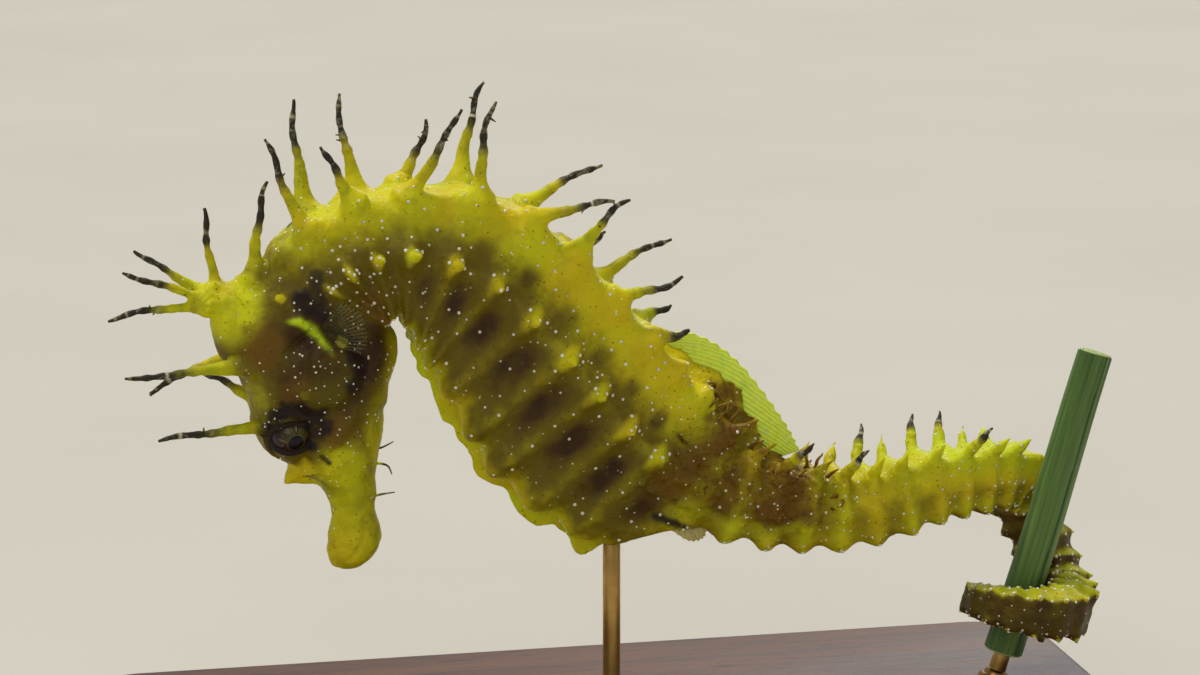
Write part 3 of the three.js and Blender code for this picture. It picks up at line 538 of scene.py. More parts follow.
def ridge_horns():
    """The knobs on the flanks and the belly's ridges, and the tail's spines with their short dark threads."""
    made = []
    for i, station in enumerate(RINGS):
        for side in TRUNK_SIDES:
            if station < VENT + 0.5:
                if i > 1:
                    made.append(ridge_horn(station, side * 89, 0.8, 0.9, 0.62, 0.24))
            elif station < GRIP:
                length = 2.4 - 1.1 * smooth(station, VENT + 1, GRIP)
                far = 1.7 if i in LONG_TAIL_THREADS[side] else random.uniform(-0.2, 0.4)
                made.append(ridge_horn(station, side * 40, length + far, 0.45, 0.85, 0.14, thread=far > 1))
                made.append(ridge_horn(station, side * 139, 0.12, 0.9, 0.5, 0.2))
            else:
                size = float(tail_size(np.array([station]))[0])
                made.append(ridge_horn(station, side * 42, 0.35 * size, 0.3, 0.8 * size, 0.3 * size))
    return made


LONG_TAIL_THREADS = {1: {13, 15, 19}, -1: {16, 18, 19}}  # ring numbers, on the left and the right


def ridge_horn(station, angle, length, sweep, thick, thin, thread=False):
    point, out, along = on_skin(station, angle, 0.8)
    tip = point + (length + 0.8) * unit(out + sweep * along)
    sway = 0.1 if thread else 0.0
    return Horn(point, tip, thick, thin, quick=1.3, sway=sway, thread=thread, flare=0.12 * thick, count=24)


def horn_foot(horn):
    """The part of a spine that belongs to the body's skin, rounded off at its end."""
    last = FOOT_TO if horn.thread else 1.0
    keep = horn.share <= last
    radii = horn.radius[keep] * np.sqrt(1 - 0.85 * smooth(horn.share[keep], last - 0.18, last))
    return tube(horn.path[keep], radii, 10)


def thread_shape(horn):
    """A skin thread: dark, knotted and banded, with a few short side branches."""
    keep = horn.share >= THREAD_FROM
    share, path = horn.share[keep], horn.path[keep]
    fine = np.linspace(0, len(share) - 1, 3 * len(share))
    path, share = through(path, fine)[0], np.interp(fine, np.arange(len(share)), share)
    radius = np.interp(share, horn.share, horn.radius)
    knots = 0.13 * np.sin(share * horn.length * 4.1 + horn.length) + 0.1 * lumps(path, 0.5, 3)
    radius = radius * (1 + knots * smooth(share, 0.35, 0.5)) * (1 - 0.55 * smooth(share, 0.86, 1))
    radius = radius + lerp(-0.16, 0.03, smooth(share, THREAD_FROM, THREAD_FROM + 0.16))
    bands = np.zeros(len(share))
    for middle in random.uniform(0.5, 0.95, 3):
        bands += random.uniform(0.1, 0.36) * bump(share, middle, random.uniform(0.1, 0.3) / horn.length)
    char = smooth(share + 0.06 * lumps(path, 0.8, 8), 0.26, 0.78)
    made = [tube(path, radius, 9, char=char, pale=bands * char, lit=1.0)]
    for where in random.uniform(0.5, 0.92, random.integers(0, 3) if horn.length > 5 else 0):
        i = int(np.searchsorted(share, where))
        way = unit(random.normal(size=3) * (1.0, 0.6, 1.0) + 0.4 * unit(path[i] - path[i - 2]))
        reach = random.uniform(0.5, 1.1)
        twig = path[i] + np.linspace(0, reach, 8)[:, None] * way
        made.append(tube(twig, np.linspace(0.17, 0.07, 8), 6, char=np.linspace(1, 0.5, 8)))
    return merged(made)


# ---------------------------------------------------------------- the keel's fringe

# How far the web's points stand out, and how far behind their rings.
KEEL_REACH = np.array([0, 0, 0.25, 0.4, 0.55, 0.75, 1.15, 0.3, 0.6, 1.5, 1.7, 0])
KEEL_SWEEP = np.array([0, 0, 0.2, 0.4, 0.5, 0.5, 0.6, 0.5, 0.4, 0.5, 0.85, 0.9])


def keel_fringe():
    """The thin fringe along the belly: a scalloped web that rises to a point behind each ring."""
    at = np.arange(NAPE + 2.0, VENT + 0.35, 0.04)
    peaks = NAPE + np.arange(len(KEEL_REACH)) + KEEL_SWEEP
    height = np.zeros(len(at))
    for peak, reach in zip(peaks, KEEL_REACH):
        rise = np.where(at < peak, smooth(at, peak - 0.85, peak) ** 1.3, smooth(at, peak + 0.32, peak))
        height = np.maximum(height, reach * rise)
    height = height + 0.8 * smooth(at, NAPE + 2.2, NAPE + 4.5) * smooth(at, VENT + 0.3, VENT - 0.5)
    centre, _, _, _ = frames(at)
    surface = skin_grid(at, np.array([180.0]))[:, 0]
    out = unit(surface - centre)
    wave = 0.16 * np.sin(at * 9.0)[:, None] * np.array([0.0, 1.0, 0.0])
    rings = []
    for depth, half in ((-1.2, 1.0), (0.0, 0.52), (0.5, 0.34), (1.0, 0.24)):
        lift = np.where(depth < 0, depth, depth * height)
        rings.append((surface + out * lift[:, None] + wave * max(depth, 0), half))
    left = [row - np.array([0, half, 0]) for row, half in rings]
    right = [row + np.array([0, half, 0]) for row, half in reversed(rings)]
    return loft(np.stack(left + right, axis=1))


# ---------------------------------------------------------------- one skin over everything


def remeshed(shapes, size):
    """One closed surface round overlapping closed shapes, as points and quads."""
    joined = merged(shapes)
    mesh = bpy.data.meshes.new("flesh")
    mesh.from_pydata(joined.points, [], [face for block in joined.faces for face in block.tolist()])
    flesh = bpy.data.objects.new("flesh", mesh)
    bpy.context.scene.collection.objects.link(flesh)
    modifier = flesh.modifiers.new("skin", "REMESH")
    modifier.mode = "VOXEL"
    modifier.voxel_size = size
    graph = bpy.context.evaluated_depsgraph_get()
    made = bpy.data.meshes.new_from_object(flesh.evaluated_get(graph), depsgraph=graph)
    points = np.empty(3 * len(made.vertices), np.float32)
    made.vertices.foreach_get("co", points)
    corners = np.empty(len(made.loops), np.int32)
    made.loops.foreach_get("vertex_index", corners)
    bpy.data.objects.remove(flesh)
    for used in (mesh, made):
        bpy.data.meshes.remove(used)
    return points.reshape(-1, 3).astype(float), corners.reshape(-1, 4).astype(int)


def edges_of(quads):
    pairs = np.sort(np.vstack([quads[:, [i, (i + 1) % 4]] for i in range(4)]), axis=1)
    return np.unique(pairs, axis=0)


def averaged(values, edges, count):
    """The mean of each point's neighbours."""
    a, b = edges.T
    degree = np.bincount(edges.ravel(), minlength=count)[:, None]
    sums = [np.bincount(a, values[b, k], count) + np.bincount(b, values[a, k], count) for k in range(values.shape[1])]
    return np.stack(sums, axis=1) / np.maximum(degree, 1)


def relaxed(points, edges, rounds):
    """Evens out steps of the grid, without shrinking the shape."""
    for _ in range(rounds):
        for pull in (0.55, -0.57):
            points = points + pull * (averaged(points, edges, len(points)) - points)
    return points


def normals_of(points, quads):
    a, b, c, d = (points[quads[:, k]] for k in range(4))
    facing = np.cross(c - a, d - b)
    sums = [np.bincount(quads.ravel(), np.repeat(facing[:, k], 4), len(points)) for k in range(3)]
    return unit(np.stack(sums, axis=1))


def tree_of(points):
    tree = KDTree(len(points))
    for i, point in enumerate(points):
        tree.insert(point, i)
    tree.balance()
    return tree


def nearest(tree, points):
    """The index of the nearest point of a tree to each of these, and how far it is."""
    found = [tree.find(point)[1:] for point in points]
    return np.array([i for i, _ in found]), np.array([gap for _, gap in found])


SKIN_STATIONS = np.arange(0, LAST + 0.001, 0.1)
SKIN_ANGLES = np.arange(-180, 180, 3.0)


class Body:
    """The finished skin's points, with their station, angle and nearest spine."""

    def __init__(self, horns):
        self.horns = horns
        grid = skin_grid(SKIN_STATIONS, SKIN_ANGLES)
        flesh = [loft(grid), keel_fringe(), *(horn_foot(horn) for horn in horns)]
        for side in TRUNK_SIDES:
            centre = EYE * (1, -side, 1) + np.array([0.0, side * 0.7, 0.0])
            flesh.append(ball(centre, 2.85))
        points, self.quads = remeshed(flesh, VOXEL)
        self.edges = edges_of(self.quads)
        self.points = self.filleted(relaxed(points, self.edges, 3))
        self.normals = normals_of(self.points, self.quads)
        self.place(grid)
        self.near_horns()

    def filleted(self, points):
        """Softens the corners where spines leave the body."""
        at = [min(0.9 / horn.length, 0.6) for horn in self.horns]
        feet = [horn.path[int(share * (len(horn.path) - 1))] for horn, share in zip(self.horns, at)]
        wide = [np.interp(share, horn.share, horn.radius) for horn, share in zip(self.horns, at)]
        feet, wide = [*feet, NOSE_FOLD], np.array([*wide, 1.2])
        index, gap = nearest(tree_of(feet), points)
        soft = smooth(gap, wide[index] + 1.3, wide[index] + 0.2)[:, None]
        for _ in range(FILLET_ROUNDS):
            points = points + 0.5 * soft * (averaged(points, self.edges, len(points)) - points)
        return points

    def place(self, grid):
        index, _ = nearest(tree_of(grid.reshape(-1, 3)), self.points)
        row, column = np.divmod(index, len(SKIN_ANGLES))
        centre, along, _, _ = frames(SKIN_STATIONS[row])
        pace = np.linalg.norm(through(LINE, SKIN_STATIONS[row])[1], axis=1)
        ahead = ((self.points - centre) * along).sum(axis=1) / pace
        self.station = np.clip(SKIN_STATIONS[row] + np.clip(ahead, -0.06, 0.06), 0, LAST)
        centre, _, back, left = frames(self.station)
        away = self.points - centre
        to_back, to_belly, to_side = reaches(self.station)
        up, across = (away * back).sum(axis=1), (away * left).sum(axis=1)
        self.angle = np.degrees(np.arctan2(across / to_side, up / np.where(up > 0, to_back, to_belly)))
        self.off = from_ring(self.station)
        self.around = np.abs(self.angle)

    def near_horns(self):
        """The share along the nearest spine, and how much each point belongs to it."""
        paths = np.vstack([horn.path for horn in self.horns])
        share = np.concatenate([horn.share for horn in self.horns])
        radius = np.concatenate([horn.radius for horn in self.horns])
        dark = np.concatenate([np.full(len(horn.share), horn.thread) for horn in self.horns])
        index, gap = nearest(tree_of(paths), self.points)
        self.horn_share = share[index]
        self.on_horn = smooth(gap, 1.75 * radius[index], 1.15 * radius[index])
        self.on_thread = self.on_horn * dark[index]

    def move(self, height):
        """Pushes every point out along its normal."""
        self.points = self.points + np.asarray(height)[:, None] * self.normals
        self.normals = normals_of(self.points, self.quads)


VOXEL = 0.2
FILLET_ROUNDS = 14

# ---------------------------------------------------------------- the head's relief

GILL = np.array([-28.4, 43.8])  # centre of the gill cover in the midplane
GILL_RADIUS = 4.05
SLIT = np.array([(-32.6, 49.2), (-30.7, 49.1), (-29.3, 48.1), (-28.1, 46.6), (-27.2, 45.2)])  # its bright rim
GAZE = np.array([0.026, 0.992, -0.125])  # which way the left eye's lids open, mirrored in Y
LOOK = np.array([0.19, 0.94, -0.28])  # where its pupil looks
LIDS = (0.98, 0.63)  # half width and half height of the opening between the lids, over the ball's radius


def to_line(points, line):
    """Distance in the midplane from points to a bent line, and the share along it of the nearest place."""
    flat = points[:, [0, 2]]
    best, share = np.full(len(flat), 1e9), np.zeros(len(flat))
    for i, (a, b) in enumerate(itertools.pairwise(np.asarray(line))):
        t = np.clip(((flat - a) @ (b - a)) / ((b - a) @ (b - a)), 0, 1)
        gap = np.linalg.norm(flat - a - t[:, None] * (b - a), axis=1)
        share = np.where(gap < best, (i + t) / (len(line) - 1), share)
        best = np.minimum(gap, best)
    return best, share


def flat_gap(points, x, z, wide=1.0, high=1.0):
    """Distance in the midplane from a place, in units of a patch's half width and half height."""
    return np.hypot((points[:, 0] - x) / wide, (points[:, 2] - z) / high)


def head_relief(body):
    p = body.points
    head = smooth(body.station, NAPE + 0.5, NAPE - 1.5) * smooth(np.abs(body.normals[:, 1]), 0.2, 0.5)
    gap = np.linalg.norm(p[:, [0, 2]] - GILL, axis=1)
    turn = np.degrees(np.arctan2(p[:, 2] - GILL[1], p[:, 0] - GILL[0]))
    rear = 0.35 + 0.65 * smooth(np.cos(np.radians(turn - 65)), -0.3, 0.5)
    height = 0.62 * smooth(gap, GILL_RADIUS, GILL_RADIUS - 1.5)
    height = height - 0.42 * rear * bump(gap, GILL_RADIUS + 0.25, 0.3)
    # Fine ribs fan out over the gill cover from its front lower corner.
    fan = np.arctan2(p[:, 2] - GILL[1] + 3.2, p[:, 0] - GILL[0] + 2.2)
    height = height + 0.045 * np.cos(34 * fan) * smooth(gap, GILL_RADIUS - 0.3, GILL_RADIUS - 1.2)
    rim, share = to_line(p, SLIT)
    height = height + 0.55 * bump(rim, 0.0, 0.6) * smooth(share, 0, 0.3) * smooth(share, 1, 0.6)
    # A ridge of bone runs from the eye to the nape, and another under the eye to the gill cover.
    brow, _ = to_line(p, [(-33.3, 40.3), (-32.8, 42.8), (-32.2, 45.6), (-32.4, 48.6), (-33.0, 51.0)])
    height = height + 0.34 * bump(brow, 0, 0.75)
    under, _ = to_line(p, [(-29.2, 35.4), (-27.2, 36.6), (-26.0, 38.6), (-25.2, 40.6)])
    height = height + 0.26 * bump(under, 0, 0.6)
    jaw, _ = to_line(p, [(-26.0, 24.1), (-24.9, 25.2), (-24.3, 26.6), (-24.3, 28.2)])
    height = height - 0.26 * bump(jaw, 0, 0.24)
    lip, _ = to_line(p, [(-27.6, 25.2), (-26.4, 25.6), (-25.2, 25.1)])
    height = height - 0.2 * bump(lip, 0, 0.22)
    return head * height


def open_mouth(body):
    """Hollows the snout's end."""
    p = body.points
    gap = np.hypot((p[:, 0] + 25.9) / 1.25, p[:, 1] / 0.95)
    inside = smooth(gap, 1.0, 0.45) * smooth(p[:, 2], 25.2, 24.2)
    body.points[:, 2] += 1.1 * inside
    rim = bump(gap, 1.25, 0.3) * smooth(p[:, 2], 25.0, 24.0)
    body.points[:, 2] -= 0.18 * rim
    body.mouth = inside


def eye_axes(side):
    """The middle of an eye, the way it looks, and its opening's long and short directions."""
    gaze = unit(GAZE * (1, -side, 1))
    wide = unit(np.cross(gaze, [-0.08, 0.0, 1.0]))
    return EYE * (1, -side, 1), gaze, wide, np.cross(wide, gaze)


def open_lids(body):
    """Opens the lids over each eyeball, and rolls their rims."""
    body.lid = np.zeros(len(body.points))
    for side in TRUNK_SIDES:
        centre, gaze, wide, high = eye_axes(side)
        away = body.points - centre
        reach = np.linalg.norm(away, axis=1)
        way = away / np.maximum(reach, 1e-6)[:, None]
        near = smooth(reach, 4.2, 3.2) * (way @ gaze > 0)
        across = np.hypot(way @ wide / LIDS[0], way @ high / LIDS[1])
        # The lid thins down to the eyeball, ends in a rolled rim, and the opening drops inside the ball.
        hug = near * smooth(across, 1.7, 1.05)
        target = lerp(reach, np.minimum(reach, EYE_RADIUS + 0.14), hug)
        rim = bump(across, 1.14, 0.11) * near
        target = lerp(target + 0.17 * rim, 1.5, smooth(across, 1.04, 0.97) * near)
        body.points = centre + way * target[:, None]
        body.lid = np.maximum(body.lid, bump(across, 1.12, 0.2) * near)
    body.normals = normals_of(body.points, body.quads)


# ---------------------------------------------------------------- the skin's markings


def ring_band(body, low, high, soft=10):
    return smooth(body.around, low - soft, low + soft) * smooth(body.around, high + soft, high - soft)


def encrusted(body):
    """Where brown growth covers the tail's root."""
    return smooth(body.station, VENT - 2.0, VENT + 0.6) * smooth(body.station, VENT + 4.8, VENT + 2.8)


def markings(body):
    """How much each point of the skin shows of each colour, from 0 to 1."""
    p, n, at, a = body.points, body.normals, body.station, body.around
    trunk, tail, head = on_trunk(at), on_tail(at), smooth(at, NAPE + 0.6, NAPE - 1.2)
    grip = smooth(at, GRIP - 0.5, GRIP + 2.5)
    blotch = 0.5 + 0.5 * np.clip(lumps(p, 2.6, 5) + 0.6 * lumps(p, 1.1, 6), -1, 1)
    rib, furrow = bump(body.off, 0, 0.2), smooth(np.abs(body.off), 0.12, 0.44)
    knob = bump(body.off, 0, 0.18)
    flank = np.clip(np.abs(n[:, 1]) * 1.6, 0, 1)

    rear = smooth(at, NAPE + 3.5, NAPE + 7.5)  # the back grows paler towards its fin
    front = lerp(0.7, 1, smooth(at, NAPE - 0.5, NAPE + 2.5))
    lit = trunk * np.maximum(front * (0.92 + 0.24 * rear) * smooth(a, 101, 34), 0.85 * knob * bump(a, 88, 9))
    late = smooth(at, NAPE + 2.2, NAPE + 5.5)
    lit = np.maximum(lit, trunk * late * (0.3 * rib * ring_band(body, 96, 160) + 0.25 * bump(a, 90, 6)))
    lit = np.maximum(lit, trunk * 0.97 * smooth(a, 126, 160))
    far = smooth(at, GRIP - 4.5, GRIP - 1.5)
    lit = np.maximum(lit, tail * (1 - grip) * np.maximum((0.5 + 0.45 * far) * smooth(a, 150, 60), 0.3 * rib + 0.5))
    lit = np.maximum(lit, tail * knob * bump(a, 138, 16))
    # Painted light: the grip's upward faces are lighter and its downward faces darker.
    lit = lerp(lit, 0.1 + 0.5 * smooth(n[:, 2], 0.2, 0.85), grip)
    snout = smooth(at, 8.6, 5.0)
    crown = smooth(flat_gap(p, -37.4, 50.8, 3.9, 4.6), 1.3, 0.5)
    throat = smooth(flat_gap(p, -20.4, 42.5, 2.6, 9.0), 1.2, 0.4)
    brow = smooth(flat_gap(p, -35.0, 40.0, 1.7, 5.5), 1.3, 0.4)
    nape = smooth(flat_gap(p, -32.6, 52.6, 3.0, 3.2), 1.3, 0.3)
    jaw = smooth(flat_gap(p, -25.2, 25.4, 3.0, 3.0), 1.4, 0.4)
    cheek = smooth(flat_gap(p, -26.4, 33.8, 3.6, 3.4) + 0.3 * blotch, 1.5, 0.5)
    chin = smooth(flat_gap(p, -22.4, 36.0, 2.4, 8.0), 1.3, 0.4)
    patches = [0.7 * snout, 0.92 * jaw, 0.86 * crown, 0.6 * throat, 0.4 * brow, 0.26 * nape, 0.55 * chin, 0.72 * cheek]
    lit = np.maximum(lit, head * np.max(patches, axis=0))
    lit = np.maximum(lit, 0.8 * body.on_horn * smooth(body.horn_share, 0.02, 0.3))

    stain = trunk * (0.42 + 0.76 * furrow) * ring_band(body, 99, 126, 13) * (0.35 + 0.65 * late)
    stain = np.maximum(stain, 0.75 * trunk * furrow * ring_band(body, 60, 80, 8) * (0.4 + 0.6 * late))
    stain = np.maximum(stain, 0.55 * trunk * ring_band(body, 96, 150, 16) * smooth(at, NAPE + 4, NAPE))
    stain = np.maximum(stain, 0.95 * head * flank * smooth(flat_gap(p, -27.4, 46.0, 7.5, 9.0), 1.2, 0.5))
    root = encrusted(body)
    stain = np.maximum(stain, 0.8 * root * ring_band(body, 40, 120, 20) * smooth(blotch, 0.25, 0.75))
    stain = np.maximum(stain, tail * (1 - grip) * ring_band(body, 84, 130, 16) * (0.16 + 0.24 * furrow))
    # Painted shade: maroon on the grip's downward faces.
    shaded = 0.72 + 0.28 * smooth(n[:, 2], 0.3, -0.5)
    stain = np.maximum(stain, grip * shaded * smooth(n[:, 2], 0.7, 0.25))
    stain = stain * (0.6 + 0.4 * blotch)

    gill = np.linalg.norm(p[:, [0, 2]] - GILL, axis=1)
    ragged_edge = lumps(p, 1.8, 14)
    low = smooth(0.3 * (p[:, 0] - GILL[0]) - (p[:, 2] - GILL[1]), -1.6, 2.4)
    moss = head * flank * smooth(gill + 0.8 * ragged_edge, GILL_RADIUS + 1.2, GILL_RADIUS - 2.4) * (0.3 + 0.7 * low)
    rim, share = to_line(p, SLIT)
    leaf = 0.1 + 0.42 * np.sin(np.pi * share)
    lime = head * flank * bump(rim, 0.05, leaf) * smooth(share, 0.0, 0.2) * smooth(share, 1.0, 0.8)
    fringe = smooth(np.linalg.norm(p - frames(at)[0], axis=1), reaches(at)[1] - 0.7, reaches(at)[1] - 0.1)
    lime = lime * (1 - 0.4 * smooth(lumps(p, 0.5, 21), 0.1, 0.5)) * (1 - 0.55 * smooth(share, 0.4, 0.85))
    # Painted light: lime on the grip's upward faces.
    lime = np.maximum(lime, 0.3 * grip * smooth(n[:, 2], 0.3, 0.9))
    lit = np.maximum(lit, trunk * fringe * smooth(a, 160, 172))
    lime = np.maximum(lime, 0.34 * trunk * fringe * smooth(a, 166, 176))
    lime = np.maximum(lime, 0.48 * tail * far * (1 - grip) * smooth(a, 105, 45))
    lime = np.maximum(lime, 0.2 * body.on_thread * smooth(body.horn_share, 0.15, 0.4))

    ragged = 0.5 * lumps(p, 1.3, 9) + 0.3 * lumps(p, 0.5, 10)
    ink = np.zeros(len(p))
    for line, wide, much in INK_LINES:
        ink = np.maximum(ink, much * smooth(to_line(p, line)[0] / wide + ragged * min(1, wide), 1.5, 0.2))
    ink = ink * flank * smooth(at, VENT - 5, VENT - 9)
    slit, _ = to_line(p, [(4.9, 27.5), (6.6, 26.8), (8.4, 25.9)])
    ink = np.maximum(ink, bump(slit + 0.3 * ragged, 0, 0.6) * smooth(at, VENT - 3, VENT - 2))
    ink = np.maximum(ink * (1 - lime), np.maximum(body.mouth, np.clip(1.3 * body.lid, 0, 1)))

    rust = head * smooth(flat_gap(p, -34.2, 46.6, 2.4, 3.0) + 0.5 * ragged, 1.4, 0.3) * 0.8
    rust = np.maximum(rust, head * smooth(flat_gap(p, -30.8, 42.0, 2.4, 2.6) + 0.5 * ragged, 1.4, 0.3) * 0.7)
    rust = np.maximum(rust, head * smooth(flat_gap(p, -27.0, 37.6, 3.2, 2.6) + 0.5 * ragged, 1.3, 0.3) * 0.7)
    # Painted shade: rust brown on the tail's downward faces just before the grip.
    under = smooth(at, GRIP - 3.2, GRIP - 1) * smooth(n[:, 2], 0.1, -0.7)
    rust = np.maximum(rust, under * 0.85)
    rust = np.maximum(rust, trunk * smooth(at, NAPE + 3, NAPE + 1) * ring_band(body, 110, 165) * 0.7)
    rust = np.maximum(rust, root * smooth(a, 125, 95) * (0.6 + 0.6 * blotch))
    rust = np.maximum(rust, 0.35 * tail * smooth(a, 100, 140))

    char = body.on_thread * smooth(body.horn_share, 0.26, 0.78)
    pale = tail * knob * bump(a, 138, 9) * (1 - grip) * smooth(body.horn_share * body.on_horn, 0.45, 0.9)
    speck = np.maximum(trunk * smooth(a, 34, 14), tail * smooth(a, 44, 20) * (1 - grip))
    speck = np.maximum(speck, root * ring_band(body, 0, 90))
    return {
        "lit": np.clip(lit, 0, 1),
        "stain": np.clip(stain * (1 - body.on_horn), 0, 1),
        "moss": moss,
        "lime": np.clip(lime, 0, 1),
        "ink": ink,
        "rust": np.clip(rust, 0, 1),
        "char": char,
        "pale": 0.8 * pale,
        "speck": speck,
        "relief": smooth(body.on_horn, 1, 0),
    }


# Purple-black bands and patches on the head and neck: a bent line in the midplane, half width and strength.
INK_LINES = (
    ([(-30.6, 51.2), (-29.0, 50.0), (-27.4, 48.6)], 1.3, 0.95),
    ([(-28.9, 53.2), (-28.6, 51.0)], 0.9, 0.75),
    ([(-27.4, 48.6), (-25.8, 46.6), (-25.0, 44.0), (-25.6, 42.8)], 1.05, 0.9),
    ([(-33.2, 39.4), (-31.2, 40.3), (-28.9, 39.6), (-28.2, 38.4)], 1.0, 0.95),
    ([(-33.4, 37.6), (-29.8, 37.4)], 1.7, 0.85),
    ([(-34.7, 37.4), (-33.3, 38.6)], 0.42, 0.95),
    ([(-28.6, 35.3), (-27.9, 34.6)], 0.42, 0.9),
)


# ---------------------------------------------------------------- white dots

DOME_SIDES = 8


def dome(point, normal, radius, bright):
    u = unit(np.cross(normal, [0.31, 0.22, 0.92]))
    v = np.cross(normal, u)
    turn = np.arange(DOME_SIDES)[:, None] * 2 * math.pi / DOME_SIDES
    circle = np.cos(turn) * u + np.sin(turn) * v
    heights, widths = (-0.5, 0.2, 0.52), (1.05, 0.9, 0.5)
    rings = [point + radius * (h * normal + w * circle) for h, w in zip(heights, widths)]
    made = loft(rings, pale=bright)
    made.points[-1] += 0.2 * radius * normal
    return made


def dot_places():
    """Rows of dots on the ribs and furrows, as (station, angle, radius)."""
    places = []
    for i, (station, after) in enumerate(itertools.pairwise(RINGS)):
        step = 12 if station < VENT else 23
        for share, chance in ((0.0, 0.62), (0.5, 0.5), (0.27, 0.22), (0.75, 0.22)):
            for side in TRUNK_SIDES:
                for angle in np.arange(16, 170, step):
                    if random.random() > chance:
                        continue
                    at = lerp(station, after, share + random.uniform(-0.07, 0.07))
                    size = max(0.55, float(tail_size(np.array([at]))[0])) if at > VENT else 1.0
                    radius = random.uniform(0.11, 0.2) * min(1, size)
                    places.append((at, side * (angle + random.uniform(-5, 5)), radius))
        if VENT + 1 < station < GRIP:  # one on each bump of the tail's lower edges
            places += [(station, 139, 0.2), (station, -139, 0.2)]
        for share, angle in itertools.product((0.0, 0.5), (-138, -90, -42, 42, 90, 138)):  # rows round the grip
            at = lerp(station, after, share)
            if at > GRIP - 1:
                places.append((at, angle + random.uniform(-3, 3), 0.17))
        for side in TRUNK_SIDES:  # a few brighter ones by each knob of the flank
            for shift in (-0.16, 0.14, 0.3):
                if station < VENT:
                    places.append((station + shift, side * (86 + random.uniform(-5, 5)), 0.2))
    return places


def head_dot_places():
    places = []
    for side in TRUNK_SIDES:
        for ring, count in ((0.9, 3), (1.9, 6), (2.9, 9), (3.8, 11)):
            for turn in np.arange(count) * 2 * math.pi / count + random.uniform(0, 1):
                x = GILL[0] + (ring + random.uniform(-0.4, 0.4)) * math.cos(turn)
                z = GILL[1] + (ring + random.uniform(-0.4, 0.4)) * math.sin(turn)
                places.append((*place_near(x, z, side), random.uniform(0.08, 0.15)))
        for _ in range(70):
            at, angle = random.uniform(9, NAPE), random.uniform(20, 165)
            places.append((at, side * angle, random.uniform(0.08, 0.14)))
        for _ in range(10):
            at, angle = random.uniform(3, 9), random.uniform(20, 165)
            places.append((at, side * angle, random.uniform(0.08, 0.11)))
    return places


def dots(body):
    surface = BVHTree.FromPolygons(body.points.tolist(), body.quads.tolist())
    made = []
    for station, angle, radius in dot_places() + head_dot_places():
        point, out, _ = on_skin(station, angle)
        found, normal, _, _ = surface.find_nearest(Vector(point + 0.3 * out))
        found, normal = np.array(found), np.array(normal)
        sides = [EYE * (1, -side, 1) for side in TRUNK_SIDES]
        if min(np.linalg.norm(found - eye) for eye in sides) < 2.4 or np.dot(normal, out) < 0.1:
            continue
        made.append(dome(found, normal, radius, random.uniform(0.55, 1.0)))
    return merged(made)


# ---------------------------------------------------------------- growth on the tail's root, and whiskers


def growth_twigs():
    """Short crooked twigs of brown growth."""
    made = []
    for _ in range(66):
        station, angle = random.uniform(VENT - 0.9, VENT + 4.2), random.uniform(-85, 85)
        point, out, along = on_skin(station, angle, 0.3)
        steps = unit(out + random.normal(0, 0.55, 3) + np.cumsum(random.normal(0, 0.35, (7, 3)), axis=0))
        path = point + np.cumsum(random.uniform(0.12, 0.36) * steps, axis=0)
        made.append(tube(path, np.linspace(random.uniform(0.16, 0.3), 0.08, 7), 7, rust=1.0, stain=0.35, char=0.15))
    return made


WHISKERS = (
    ((-22.9, -0.2, 35.0), (-22.2, -0.5, 35.2), (-21.1, -0.8, 35.8)),
    ((-22.8, -0.3, 33.6), (-21.7, -0.5, 33.3), (-21.3, -0.9, 32.5)),
    ((-23.0, -0.2, 30.2), (-22.1, -0.4, 30.4), (-21.0, -0.7, 30.6)),
)


def whisker_shapes():
    at = np.linspace(0, 2, 14)
    radii = np.linspace(0.15, 0.06, 14)
    char = smooth(at, 0.2, 0.8)
    return [tube(through(np.array(points), at)[0], radii, 7, char=char, lit=1 - char) for points in WHISKERS]


# ---------------------------------------------------------------- materials


class Value:
    """A shader's socket. Arithmetic on it adds Math nodes."""

    def __init__(self, finish, socket):
        self.finish = finish
        self.socket = socket

    def math(self, operation, *values):
        sockets = dict(enumerate(values))
        return self.finish.node("ShaderNodeMath", {"operation": operation}, sockets)

    def __add__(self, other):
        return self.math("ADD", self, other)

    def __sub__(self, other):
        return self.math("SUBTRACT", self, other)

    def __rsub__(self, other):
        return self.math("SUBTRACT", other, self)

    def __mul__(self, other):
        return self.math("MULTIPLY", self, other)

    def __pow__(self, other):
        return self.math("POWER", self, other)

    __radd__ = __add__
    __rmul__ = __mul__

    def ramp(self, low, high, floor=0.0, top=1.0):
        """floor below low and top above high, with a smooth step between them."""
        settings = {"interpolation_type": "SMOOTHSTEP"}
        sockets = {0: self, 1: low, 2: high, 3: floor, 4: top}
        return self.finish.node("ShaderNodeMapRange", settings, sockets)


